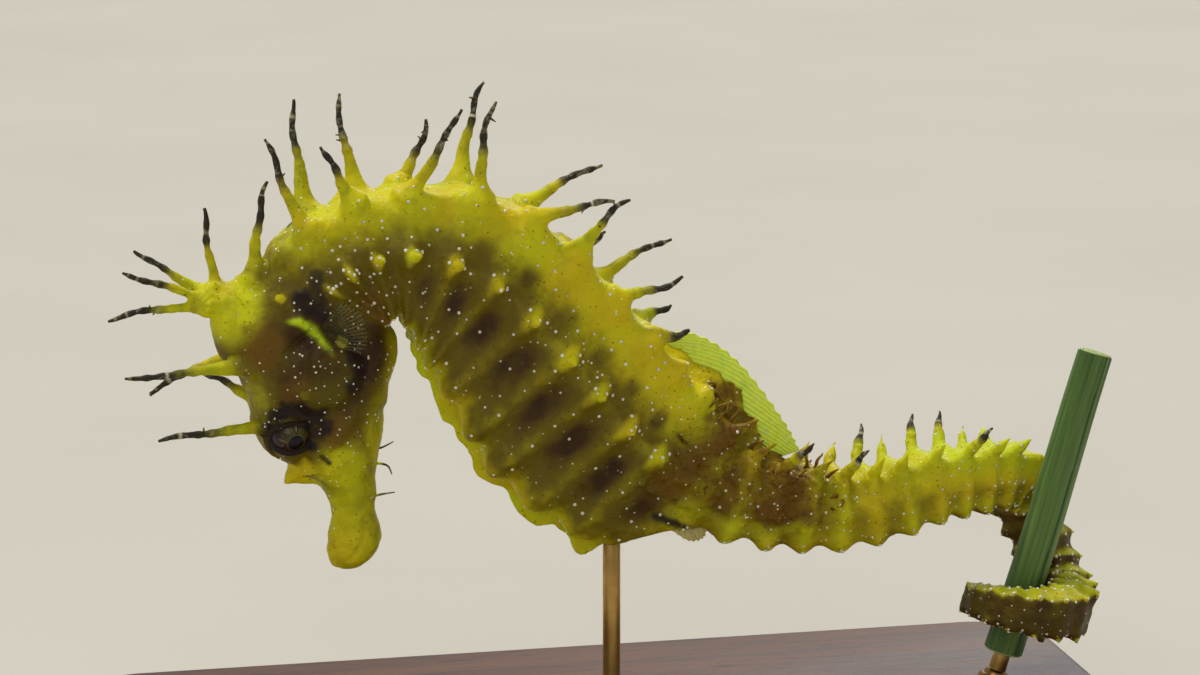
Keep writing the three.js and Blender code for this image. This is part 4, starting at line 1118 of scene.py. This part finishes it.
class Finish:
    """A material under construction. Sockets given here are the same all over the surface."""

    def __init__(self, name, **sockets):
        self.material = bpy.data.materials.new(name)
        self.material.use_nodes = True
        self.tree = self.material.node_tree
        self.shader = self.tree.nodes["Principled BSDF"]
        self.set(**sockets)

    def set(self, **sockets):
        for name, value in sockets.items():
            self.put(self.shader.inputs[name.replace("_", " ")], value)

    def put(self, socket, value):
        if isinstance(value, Value):
            self.tree.links.new(value.socket, socket)
        else:
            socket.default_value = value

    def node(self, kind, settings, sockets, out=0):
        made = self.tree.nodes.new(kind)
        for name, value in settings.items():
            setattr(made, name, value)
        for name, value in sockets.items():
            self.put(made.inputs[name], value)
        return Value(self, made.outputs[out])

    def attribute(self, name, out="Fac"):
        return self.node("ShaderNodeAttribute", {"attribute_name": name}, {}, out)

    def place(self):
        return self.node("ShaderNodeTexCoord", {}, {}, "Object")

    def scaled(self, vector, scale):
        return self.node("ShaderNodeVectorMath", {"operation": "MULTIPLY"}, {0: vector, 1: scale})

    def vector(self, x, y, z=0.0):
        return self.node("ShaderNodeCombineXYZ", {}, {0: x, 1: y, 2: z})

    def noise(self, vector, scale, detail=3.0, roughness=0.55):
        sockets = {"Vector": vector, "Scale": scale, "Detail": detail, "Roughness": roughness}
        return self.node("ShaderNodeTexNoise", {}, sockets)

    def cells(self, vector, scale, feature="F1", out="Distance"):
        return self.node("ShaderNodeTexVoronoi", {"feature": feature}, {"Vector": vector, "Scale": scale}, out)

    def mix(self, factor, a, b, blend="MIX"):
        settings = {"data_type": "RGBA", "blend_type": blend, "clamp_factor": True}
        return self.node("ShaderNodeMix", settings, {0: factor, 6: a, 7: b}, 2)

    def bump(self, height, distance, strength=1.0):
        return self.node("ShaderNodeBump", {}, {"Height": height, "Distance": distance, "Strength": strength})


def colour(red, green, blue):
    """A colour given as 0 to 255 on a screen, as the shader's linear values."""
    shares = (red / 255, green / 255, blue / 255)
    return (*(c / 12.92 if c <= 0.04045 else ((c + 0.055) / 1.055) ** 2.4 for c in shares), 1.0)


OLIVE = colour(104, 88, 6)
GOLDEN = colour(206, 186, 10)
LEMON = colour(202, 200, 12)
MAROON = colour(56, 29, 10)
MOSS = colour(98, 88, 6)
LIME = colour(178, 200, 16)
INK = colour(24, 10, 16)
RUST = colour(108, 74, 8)
HORN = colour(46, 42, 32)
WHITE = colour(250, 244, 204)
ASH = colour(150, 146, 120)


def skin_finish():
    """Wet-looking seahorse skin: olive with yellow ridges, dark furrows, and fine pale and dark grains."""
    made = Finish(
        "seahorse_skin",
        Subsurface_Weight=0.3,
        Subsurface_Scale=0.0014,
        Subsurface_Radius=(1.0, 0.85, 0.15),
        Specular_IOR_Level=0.16,
        Coat_Roughness=0.2,
    )
    place = made.place()
    cloud = made.noise(place, 210, 3.0, 0.5)
    mottle = made.noise(place, 640, 4.0, 0.62)
    grain = made.noise(place, 2600, 2.0)
    lit = made.attribute("lit") + (mottle - 0.5) * 0.75 + (cloud - 0.5) * 0.7
    yellow = made.mix(made.noise(place, 130, 2.0).ramp(0.38, 0.62), LEMON, GOLDEN)
    tone = made.mix(lit.ramp(0.05, 1.0), OLIVE, yellow)
    # Maroon marks, and the painted shade on the grip's downward faces.
    stain = made.attribute("stain") + (mottle - 0.5) * 0.7 + (cloud - 0.5) * 0.6
    tone = made.mix(stain.ramp(0.12, 0.95, 0.0, 0.95), tone, MAROON)
    # Rust-brown patches and growth, and the painted shade under the tail before the grip.
    tone = made.mix((made.attribute("rust") * (0.2 + mottle * 1.4)).ramp(0.1, 1.0), tone, RUST)
    moss = made.attribute("moss") + (mottle - 0.5) * 0.5
    tone = made.mix(moss.ramp(0.1, 1.1, 0.0, 0.75), tone, MOSS)
    ink = made.attribute("ink") + (mottle - 0.5) * 0.6 + (cloud - 0.5) * 0.3
    tone = made.mix(ink.ramp(0.15, 1.05, 0.0, 0.95), tone, INK)
    # Lime marks, and the painted light on the grip's upward faces.
    tone = made.mix(made.attribute("lime").ramp(0.0, 1.0), tone, LIME)
    # Fine dark pores, and pale grains that are finer than the raised white dots.
    speck = made.attribute("speck")
    pores = made.cells(place, 1500).ramp(0.1, 0.24, 0.6, 0.0) * (mottle + speck * 0.2).ramp(0.42, 0.58)
    tone = made.mix(pores, tone, MAROON)
    grains = made.cells(place, 1150).ramp(0.08, 0.15, 0.7, 0.0) * (cloud + speck * 0.45).ramp(0.46, 0.6)
    tone = made.mix(grains, tone, WHITE)
    char = made.attribute("char")
    ash = made.noise(place, 1300, 3.0, 0.65)
    thread = made.mix(ash.ramp(0.52, 0.68, 0.0, 0.7), HORN, ASH)
    tone = made.mix((char + (grain - 0.5) * 0.5 * char).ramp(0.1, 0.9), tone, thread)
    pale = made.attribute("pale")
    tone = made.mix(pale.ramp(0.1, 0.8), tone, WHITE)
    rough = 0.42 + 0.25 * mottle
    height = 0.6 * mottle + 0.4 * grain
    bumped = made.bump(height * made.attribute("relief").ramp(0.0, 1.0, 0.4, 1.0), 0.0004, 0.8)
    made.set(Base_Color=tone, Roughness=rough, Normal=bumped, Coat_Weight=0.05)
    return made.material


def eye_finish():
    """A black pupil in a dark maroon iris, olive above, with a few pale streaks, under a clear cornea."""
    made = Finish("eye", Roughness=0.3, Specular_IOR_Level=0.2, Coat_Weight=0.14, Coat_Roughness=0.04)
    polar = made.attribute("polar")
    turn = made.attribute("turn")
    above = made.attribute("above")
    spokes = made.noise(made.vector(turn * 7.0, polar * 0.02), 1.0, 3.0)
    flecks = made.noise(made.place(), 4200, 2.0)
    olive = made.mix(spokes.ramp(0.4, 0.62), colour(80, 74, 20), colour(34, 20, 13))
    iris = made.mix(above.ramp(-0.1, 0.6), colour(40, 18, 16), olive)
    iris = made.mix(flecks.ramp(0.58, 0.72, 0.0, 0.3), iris, colour(140, 130, 50))
    iris = made.mix(polar.ramp(25, 28, 0.3, 0.0), iris, colour(128, 112, 50))
    streaks = made.noise(made.vector(turn * 5.0, 3.0), 1.0, 1.0).ramp(0.62, 0.68, 0.0, 0.3)
    tone = made.mix(streaks * polar.ramp(30, 40) * polar.ramp(62, 52), iris, colour(206, 200, 176))
    tone = made.mix(polar.ramp(44, 62), tone, colour(36, 16, 18))
    tone = made.mix(polar.ramp(23, 25, 1.0, 0.0), tone, colour(6, 5, 9))
    made.set(Base_Color=tone)
    return made.material


def fin_finish(name, membrane, ray, clear, full):
    """A fin's thin membrane, stiffened by paler rays."""
    made = Finish(name, Roughness=0.35, Subsurface_Weight=0.3, Subsurface_Scale=0.001, Coat_Weight=0.2)
    rays = made.attribute("ray")
    mottle = made.noise(made.place(), 900, 3.0)
    tone = made.mix(rays.ramp(0.2, 0.9), membrane, ray)
    tone = made.mix(mottle.ramp(0.55, 0.8, 0.0, 0.25), tone, OLIVE)
    tone = made.mix(made.attribute("root").ramp(0.0, 0.4, 0.6, 0.0), tone, membrane)
    alpha = (rays.ramp(0.1, 1.0) * (full - clear) + clear) * mottle.ramp(0.2, 0.6, 0.7, 1.0)
    made.set(Base_Color=tone, Alpha=alpha, Normal=made.bump(mottle, 0.0001, 0.5))
    return made.material


def grass_finish():
    """Eelgrass: fine veins that run along a soft green sheath."""
    made = Finish("eelgrass", Subsurface_Weight=0.15, Subsurface_Scale=0.001, Specular_IOR_Level=0.4)
    around, up = made.attribute("around"), made.attribute("up")
    streak = made.noise(made.vector(around * 26.0, up * 0.09), 1.0, 4.0, 0.6)
    broad = made.noise(made.vector(around * 3.0, up * 0.05, 4.0), 1.0, 2.0)
    veins = made.noise(made.vector(around * 90.0, up * 0.03, 9.0), 1.0, 1.0)
    tone = made.mix(broad.ramp(0.3, 0.7), colour(62, 100, 34), colour(112, 144, 62))
    tone = made.mix(streak.ramp(0.4, 0.75, 0.0, 0.5), tone, colour(40, 76, 28))
    tone = made.mix(veins.ramp(0.5, 0.75, 0.0, 0.25), tone, colour(150, 176, 100))
    tone = made.mix(made.attribute("seam"), tone, colour(20, 46, 18))
    tone = made.mix(made.attribute("cut"), tone, colour(168, 186, 112))
    bumped = made.bump(veins + streak, 0.00012, 0.7)
    made.set(Base_Color=tone, Roughness=0.36 + 0.2 * streak, Normal=bumped, Coat_Weight=0.15)
    return made.material


def wood_finish():
    """Dark oiled walnut, with the grain along the base."""
    made = Finish("walnut", Coat_Weight=0.1, Coat_Roughness=0.3, Specular_IOR_Level=0.35)
    place = made.place()
    warped = made.noise(made.scaled(place, (22.0, 90.0, 90.0)), 1.0, 3.0)
    rings = made.noise(made.scaled(place, (14.0, 420.0, 420.0)), 1.0, 5.0, 0.65)
    pores = made.noise(made.scaled(place, (160.0, 2600.0, 2600.0)), 1.0, 2.0)
    tone = made.mix((rings * 0.7 + warped * 0.5).ramp(0.4, 0.8), colour(52, 31, 20), colour(104, 66, 40))
    tone = made.mix(pores.ramp(0.56, 0.7, 0.0, 0.75), tone, colour(26, 15, 10))
    made.set(Base_Color=tone, Roughness=0.34 + 0.2 * rings, Normal=made.bump(rings + pores, 0.0001, 0.6))
    return made.material


def brass_finish():
    """Brushed brass, a little dulled."""
    made = Finish("brass", Metallic=1.0)
    place = made.place()
    brushed = made.noise(made.scaled(place, (2600.0, 2600.0, 60.0)), 1.0, 2.0)
    cloud = made.noise(place, 160, 3.0)
    tone = made.mix(cloud.ramp(0.35, 0.7), colour(196, 160, 92), colour(158, 122, 66))
    made.set(Base_Color=tone, Roughness=0.22 + 0.18 * brushed, Normal=made.bump(brushed, 0.00003, 0.6))
    return made.material


def floor_finish():
    made = Finish("pale_floor", Roughness=0.9, Specular_IOR_Level=0.2)
    cloud = made.noise(made.place(), 14, 4.0)
    made.set(Base_Color=made.mix(cloud, colour(192, 187, 174), colour(202, 197, 185)))
    return made.material


# ---------------------------------------------------------------- the animal


def animal():
    horns = back_threads() + head_horns() + ridge_horns()
    body = Body(horns)
    body.move(head_relief(body))
    body.move(0.13 * lumps(body.points, 1.7, 1) + 0.05 * lumps(body.points, 0.6, 2))
    growth = np.maximum(lumps(body.points, 0.9, 31), 0) + 0.6 * np.maximum(lumps(body.points, 0.45, 32), 0)
    body.move(0.56 * growth * encrusted(body) * smooth(body.around, 135, 105) * (1 - body.on_horn))
    open_mouth(body)
    open_lids(body)
    skin = Shape(body.points, [body.quads], **markings(body))
    extras = [thread_shape(horn) for horn in horns if horn.thread] + growth_twigs()
    whole = merged([skin, dots(body), *extras, *whisker_shapes()])
    flesh = (
        "snout head coronet neck trunk_front trunk_middle trunk_rear tail_root tail_middle tail_bend "
        "tail_coil_right tail_coil_front tail_coil_left tail_tip"
    ).split()
    piece("seahorse_skin", whole, skin_finish(), "skin", *flesh)


def eyes():
    finish = eye_finish()
    for side, name in ((1, "left"), (-1, "right")):
        centre, _, wide, high = eye_axes(side)
        look = unit(LOOK * (1, -side, 1))
        shape = ball(centre, EYE_RADIUS - 0.06, look, 48, 40)
        away = unit(shape.points - centre)
        polar = np.degrees(np.arccos(np.clip(away @ look, -1, 1)))
        shape.points = centre + away * (EYE_RADIUS - 0.06 + 0.14 * bump(polar, 0, 26))[:, None]
        up, across = (away - look) @ high, (away - look) @ wide
        shape.values["polar"] = polar
        shape.values["turn"] = np.arctan2(up, across)
        shape.values["above"] = up / np.maximum(np.hypot(up, across), 1e-6)
        piece("eyeball_" + name, shape, finish, "eye", "eye_" + name)


# ---------------------------------------------------------------- fins


def fan(root, rim, rays, half, lift, ripple, columns=7, rows=16, sweep=0.0):
    """A fin from a root line to a rim line, with rays that stand proud of its membrane.

    lift is the way across it; half is half its thickness at the root and at the rim; sweep is how far along
    the rim the rays lie back, as a share of it.
    """
    u = np.linspace(0, 1, rays * columns + 1)
    v = np.linspace(0, 1, rows)[:, None, None]
    inner = through(np.asarray(root, float), u * (len(root) - 1))[0]
    outer = through(np.asarray(rim, float), u * (len(rim) - 1))[0]
    ray = np.cos(math.pi * rays * (u[None, :] - sweep * v[..., 0] ** 1.5)) ** 2
    dip = 0.03 * (1 - ray[-1])[None, :, None] * v**6  # the membrane dips between the rays' tips
    middle = inner + (outer - inner) * v * (1 - dip)
    facing = np.cross(outer[-1] - outer[0], outer.mean(axis=0) - inner.mean(axis=0))
    across = np.asarray(lift, float) * np.sign(np.dot(facing, lift))
    wave = ripple * np.sin(u * 13.0)[None, :, None] * v**1.5
    middle = middle + wave * across
    thick = lerp(half[0], half[1], v[..., 0]) * (0.55 + 0.45 * ray**3)
    near, far = middle + thick[..., None] * across, middle - thick[..., None] * across
    strip = np.concatenate([near, far[:, ::-1]], axis=1)
    both = np.concatenate([ray, ray[:, ::-1]], axis=1)
    turn = strip.shape[1]
    c = np.arange(len(u) - 1)
    edge = np.stack([c, c + 1, turn - 2 - c, turn - 1 - c], axis=1)
    faces = [grid_faces(rows, turn), edge[:, ::-1], edge + (rows - 1) * turn]
    share = np.repeat(v[:, 0, 0], turn)
    return Shape(strip.reshape(-1, 3), faces, ray=both.ravel(), root=share)


DORSAL_ROOT = ((3.6, 0, 43.2), (6.8, 0, 41.0), (9.8, 0, 37.8), (12.4, 0, 34.4), (15.8, 0, 31.2))
DORSAL_RIM = (
    (5.6, 0, 45.6),
    (9.2, 0, 45.4),
    (12.0, 0, 44.1),
    (14.4, 0, 42.1),
    (16.6, 0, 39.4),
    (18.6, 0, 36.6),
    (20.0, 0, 34.4),
    (20.8, 0, 32.6),
)
ANAL_ROOT = ((6.7, 0, 27.2), (7.8, 0, 27.6), (8.8, 0, 27.8), (9.6, 0, 28.0))
ANAL_RIM = ((7.5, 0, 24.8), (9.2, 0, 23.7), (10.7, 0, 23.8), (11.2, 0, 25.2))
PECTORAL = np.array([-29.3, 4.8, 47.2])
PECTORAL_SPLAY = math.radians(24)


def pectoral(side):
    """The fan behind a gill cover."""
    ahead = np.array([math.cos(PECTORAL_SPLAY), -side * math.sin(PECTORAL_SPLAY), 0.0])
    lift = np.array([math.sin(PECTORAL_SPLAY), side * math.cos(PECTORAL_SPLAY), 0.0])
    centre = PECTORAL * (1, -side, 1)
    turns = np.radians(np.linspace(-12, 58, 7))
    reach = 5.5 * (1 - 0.12 * np.linspace(-1, 1, 7) ** 2)
    ways = np.cos(turns)[:, None] * ahead + np.sin(turns)[:, None] * np.array([0, 0, 1.0])
    return fan(centre + 1.2 * ways, centre + reach[:, None] * ways, 15, (0.24, 0.12), lift, 0.22)


def fins():
    across = (0.0, 1.0, 0.0)
    bright = fin_finish("dorsal_fin", colour(208, 242, 14), colour(232, 252, 96), 0.92, 1.0)
    faint = fin_finish("clear_fin", colour(66, 62, 18), colour(110, 108, 40), 0.05, 0.3)
    pale = fin_finish("anal_fin", colour(186, 180, 60), colour(220, 214, 110), 0.7, 1.0)
    dorsal = fan(DORSAL_ROOT, DORSAL_RIM, 16, (0.34, 0.16), across, 0.12, columns=10, rows=90, sweep=0.6)
    piece("dorsal_fan", dorsal, bright, "fin", "dorsal_fin")
    anal = fan(ANAL_ROOT, ANAL_RIM, 9, (0.24, 0.12), across, 0.1)
    piece("anal_fan", anal, pale, "fin", "anal_fin")
    for side, name in ((1, "left"), (-1, "right")):
        piece("pectoral_fan_" + name, pectoral(side), faint, "fin", "pectoral_fin_" + name)


# ---------------------------------------------------------------- perch and stand


def perch():
    """The cut shoot: a flattened sheath of leaves, each wrapped round the next, and cut square at both ends."""
    low, high = STEM_ENDS
    up = np.concatenate([[low], np.linspace(low + 0.05, high - 0.05, 90), [high]])
    turn = np.linspace(0, 2 * math.pi, 120, endpoint=False)
    share = (up - low) / (high - low)
    wide = STEM_RADIUS * lerp(1.0, 0.92, share)[:, None]
    deep = STEM_RADIUS * lerp(0.9, 0.58, share)[:, None]
    # Two leaf edges step the outline: each fades away round the shoot from its own edge.
    seam = np.zeros((len(up), len(turn)))
    step = np.zeros_like(seam)
    for start, slant in ((math.radians(292), 0.006), (math.radians(112), -0.008)):
        past = (turn[None, :] - start - slant * up[:, None]) % (2 * math.pi)
        step += 0.16 * (1 - smooth(past, 0.0, 2.6)) * smooth(past, 0.0, 0.07)
        seam += bump(past, 0.02, 0.05)
    ribs = 0.03 * np.cos(turn * 22)[None, :]
    scale = 1 + (step + ribs - 0.12) / STEM_RADIUS
    centre = STEM_FOOT + up[:, None] * STEM_AXIS + 0.12 * np.sin(share * 5.0)[:, None] * STEM_RIGHT
    rings = (
        centre[:, None]
        + (wide * np.cos(turn) * scale)[..., None] * STEM_RIGHT
        + (deep * np.sin(turn) * scale)[..., None] * np.array([0.0, 1.0, 0.0])
    )
    around = np.broadcast_to(turn, seam.shape)
    height = np.broadcast_to(up[:, None], seam.shape)
    body = loft(rings, around=around, up=height, seam=np.clip(seam, 0, 1))
    return merged([body, *cut_end(rings[-1], STEM_AXIS), *cut_end(rings[0], -STEM_AXIS)])


def cut_end(ring, way):
    """The layers of leaf that show at a cut: pale rims, one inside another."""
    made = []
    middle = ring.mean(axis=0)
    for share, height in ((0.86, 0.1), (0.62, 0.16), (0.36, 0.12)):
        path = middle + share * (ring - middle) + height * way
        made.append(tube(np.vstack([path, path[:3]]), 0.11, 6, cut=1.0))
    return made


def rounded_outline(length, width, corner, inset):
    """A rectangle with round corners, drawn in by inset."""
    turns = np.radians(np.arange(0, 360, 90 / 12) + 3.75)
    x = np.sign(np.cos(turns)) * (length / 2 - corner) + np.cos(turns) * (corner - inset)
    y = np.sign(np.sin(turns)) * (width / 2 - corner) + np.sin(turns) * (corner - inset)
    return x, y


def base():
    """The base block, with rounded corners and a moulded upper edge."""
    length, width, height = BASE
    profile = [(0.0, 1.0), (0.3, 0.35), (1.0, 0.0), (height - 2.6, 0.0), (height - 2.2, 0.12), (height - 2.0, 0.5)]
    for turn in np.radians(np.arange(0, 91, 15)):  # the rounded upper edge, above a shallow step
        profile.append((height - 1.6 + 1.6 * math.sin(turn), 0.6 + 1.6 * (1 - math.cos(turn))))
    rings = []
    for z, inset in profile:
        x, y = rounded_outline(length, width, BASE_CORNER, inset)
        rings.append(np.stack([x, y, np.full(len(x), z)], axis=1))
    return loft(rings)


def rod_shape(foot, top, collar_at):
    """A rod with a turned collar where it leaves the base."""
    foot, top = np.asarray(foot, float), np.asarray(top, float)
    way = unit(top - foot)
    length = np.linalg.norm(top - foot)
    rod = tube(foot + np.array([[0], [length * 0.5], [length - 0.15], [length]]) * way, [0.9, 0.9, 0.9, 0.78], 28)
    steps = ((-0.6, 1.75), (0.05, 1.75), (0.25, 1.62), (0.35, 1.3), (0.7, 1.2), (0.85, 1.05), (0.95, 0.88))
    at = np.array([h for h, _ in steps])[:, None] + collar_at
    collar = tube(foot + at * way, [r for _, r in steps], 36)
    return merged([rod, collar])


def on_stem(z):
    return STEM_FOOT + (z - STEM_FOOT[2]) / STEM_AXIS[2] * STEM_AXIS


def stand():
    wood, brass = wood_finish(), brass_finish()
    block = piece("stand_block", base(), wood, "wood", "stand_base")
    block.data.set_sharp_from_angle(angle=math.radians(50))
    seat = BASE[2] - ROD_SEAT
    rod = rod_shape((TRUNK_ROD_X, 0, seat), (TRUNK_ROD_X, 0, TRUNK_ROD_TOP), ROD_SEAT)
    piece("stand_pin_trunk", rod, brass, "brass", "stand_rod_trunk")
    foot, top = on_stem(seat), STEM_FOOT + (STEM_ENDS[0] + 3) * STEM_AXIS
    rod = rod_shape(foot, top, ROD_SEAT / STEM_AXIS[2])
    piece("stand_pin_perch", rod, brass, "brass", "stand_rod_perch")
    piece("eelgrass_shoot", perch(), grass_finish(), "eelgrass", "perch_stem")
    for name in ("stand_pin_trunk", "stand_pin_perch"):
        bpy.data.objects[name].data.set_sharp_from_angle(angle=math.radians(40))


# ---------------------------------------------------------------- floor, light and camera

CAMERA_AZIMUTH = math.radians(-12)
CAMERA_ELEVATION = math.radians(12)
CAMERA_DISTANCE = 350.0
CAMERA_TARGET = np.array([0.0, 0.0, 45.25])
CAMERA_LENS = 105.0


def floor():
    mesh = bpy.data.meshes.new("floor")
    half = 4.0
    corners = [(-half, -half, 0), (half, -half, 0), (half, half, 0), (-half, half, 0)]
    mesh.from_pydata(corners, [], [(0, 1, 2, 3)])
    mesh.materials.append(floor_finish())
    made = bpy.data.objects.new("floor", mesh)
    bpy.context.scene.collection.objects.link(made)


def lamp(name, kind, energy, place, size, tint):
    light = bpy.data.lights.new(name, kind)
    light.energy = energy
    light.color = tint
    if kind == "SUN":
        light.angle = size
    else:
        light.size = size
    made = bpy.data.objects.new(name, light)
    made.location = np.array(place) * MM
    aim = Vector(CAMERA_TARGET * MM) - made.location
    made.rotation_euler = aim.to_track_quat("-Z", "Y").to_euler()
    bpy.context.scene.collection.objects.link(made)


def lights():
    lamp("daylight", "SUN", 2.2, (-90, 60, 400), math.radians(14), (1.0, 0.98, 0.93))
    lamp("rear_light", "SUN", 0.6, (160, 300, 240), math.radians(30), (1.0, 1.0, 0.97))
    lamp("front_softbox", "AREA", 0.3, (-190, -330, 260), 0.26, (1.0, 0.99, 0.96))
    world = bpy.data.worlds.new("room")
    world.use_nodes = True
    world.node_tree.nodes["Background"].inputs["Color"].default_value = (0.92, 0.95, 1.0, 1.0)
    world.node_tree.nodes["Background"].inputs["Strength"].default_value = 0.38
    bpy.context.scene.world = world
    bpy.context.scene.view_settings.view_transform = "Standard"


def camera():
    data = bpy.data.cameras.new("camera")
    data.lens = CAMERA_LENS
    data.clip_start, data.clip_end = 0.01, 20.0
    made = bpy.data.objects.new("camera", data)
    flat = math.cos(CAMERA_ELEVATION)
    away = np.array(
        [
            math.sin(CAMERA_AZIMUTH) * flat,
            -math.cos(CAMERA_AZIMUTH) * flat,
            math.sin(CAMERA_ELEVATION),
        ]
    )
    made.location = (CAMERA_TARGET + CAMERA_DISTANCE * away) * MM
    made.rotation_euler = Vector(-away).to_track_quat("-Z", "Y").to_euler()
    bpy.context.scene.collection.objects.link(made)
    bpy.context.scene.camera = made


camera()
animal()
eyes()
fins()
stand()
floor()
lights()
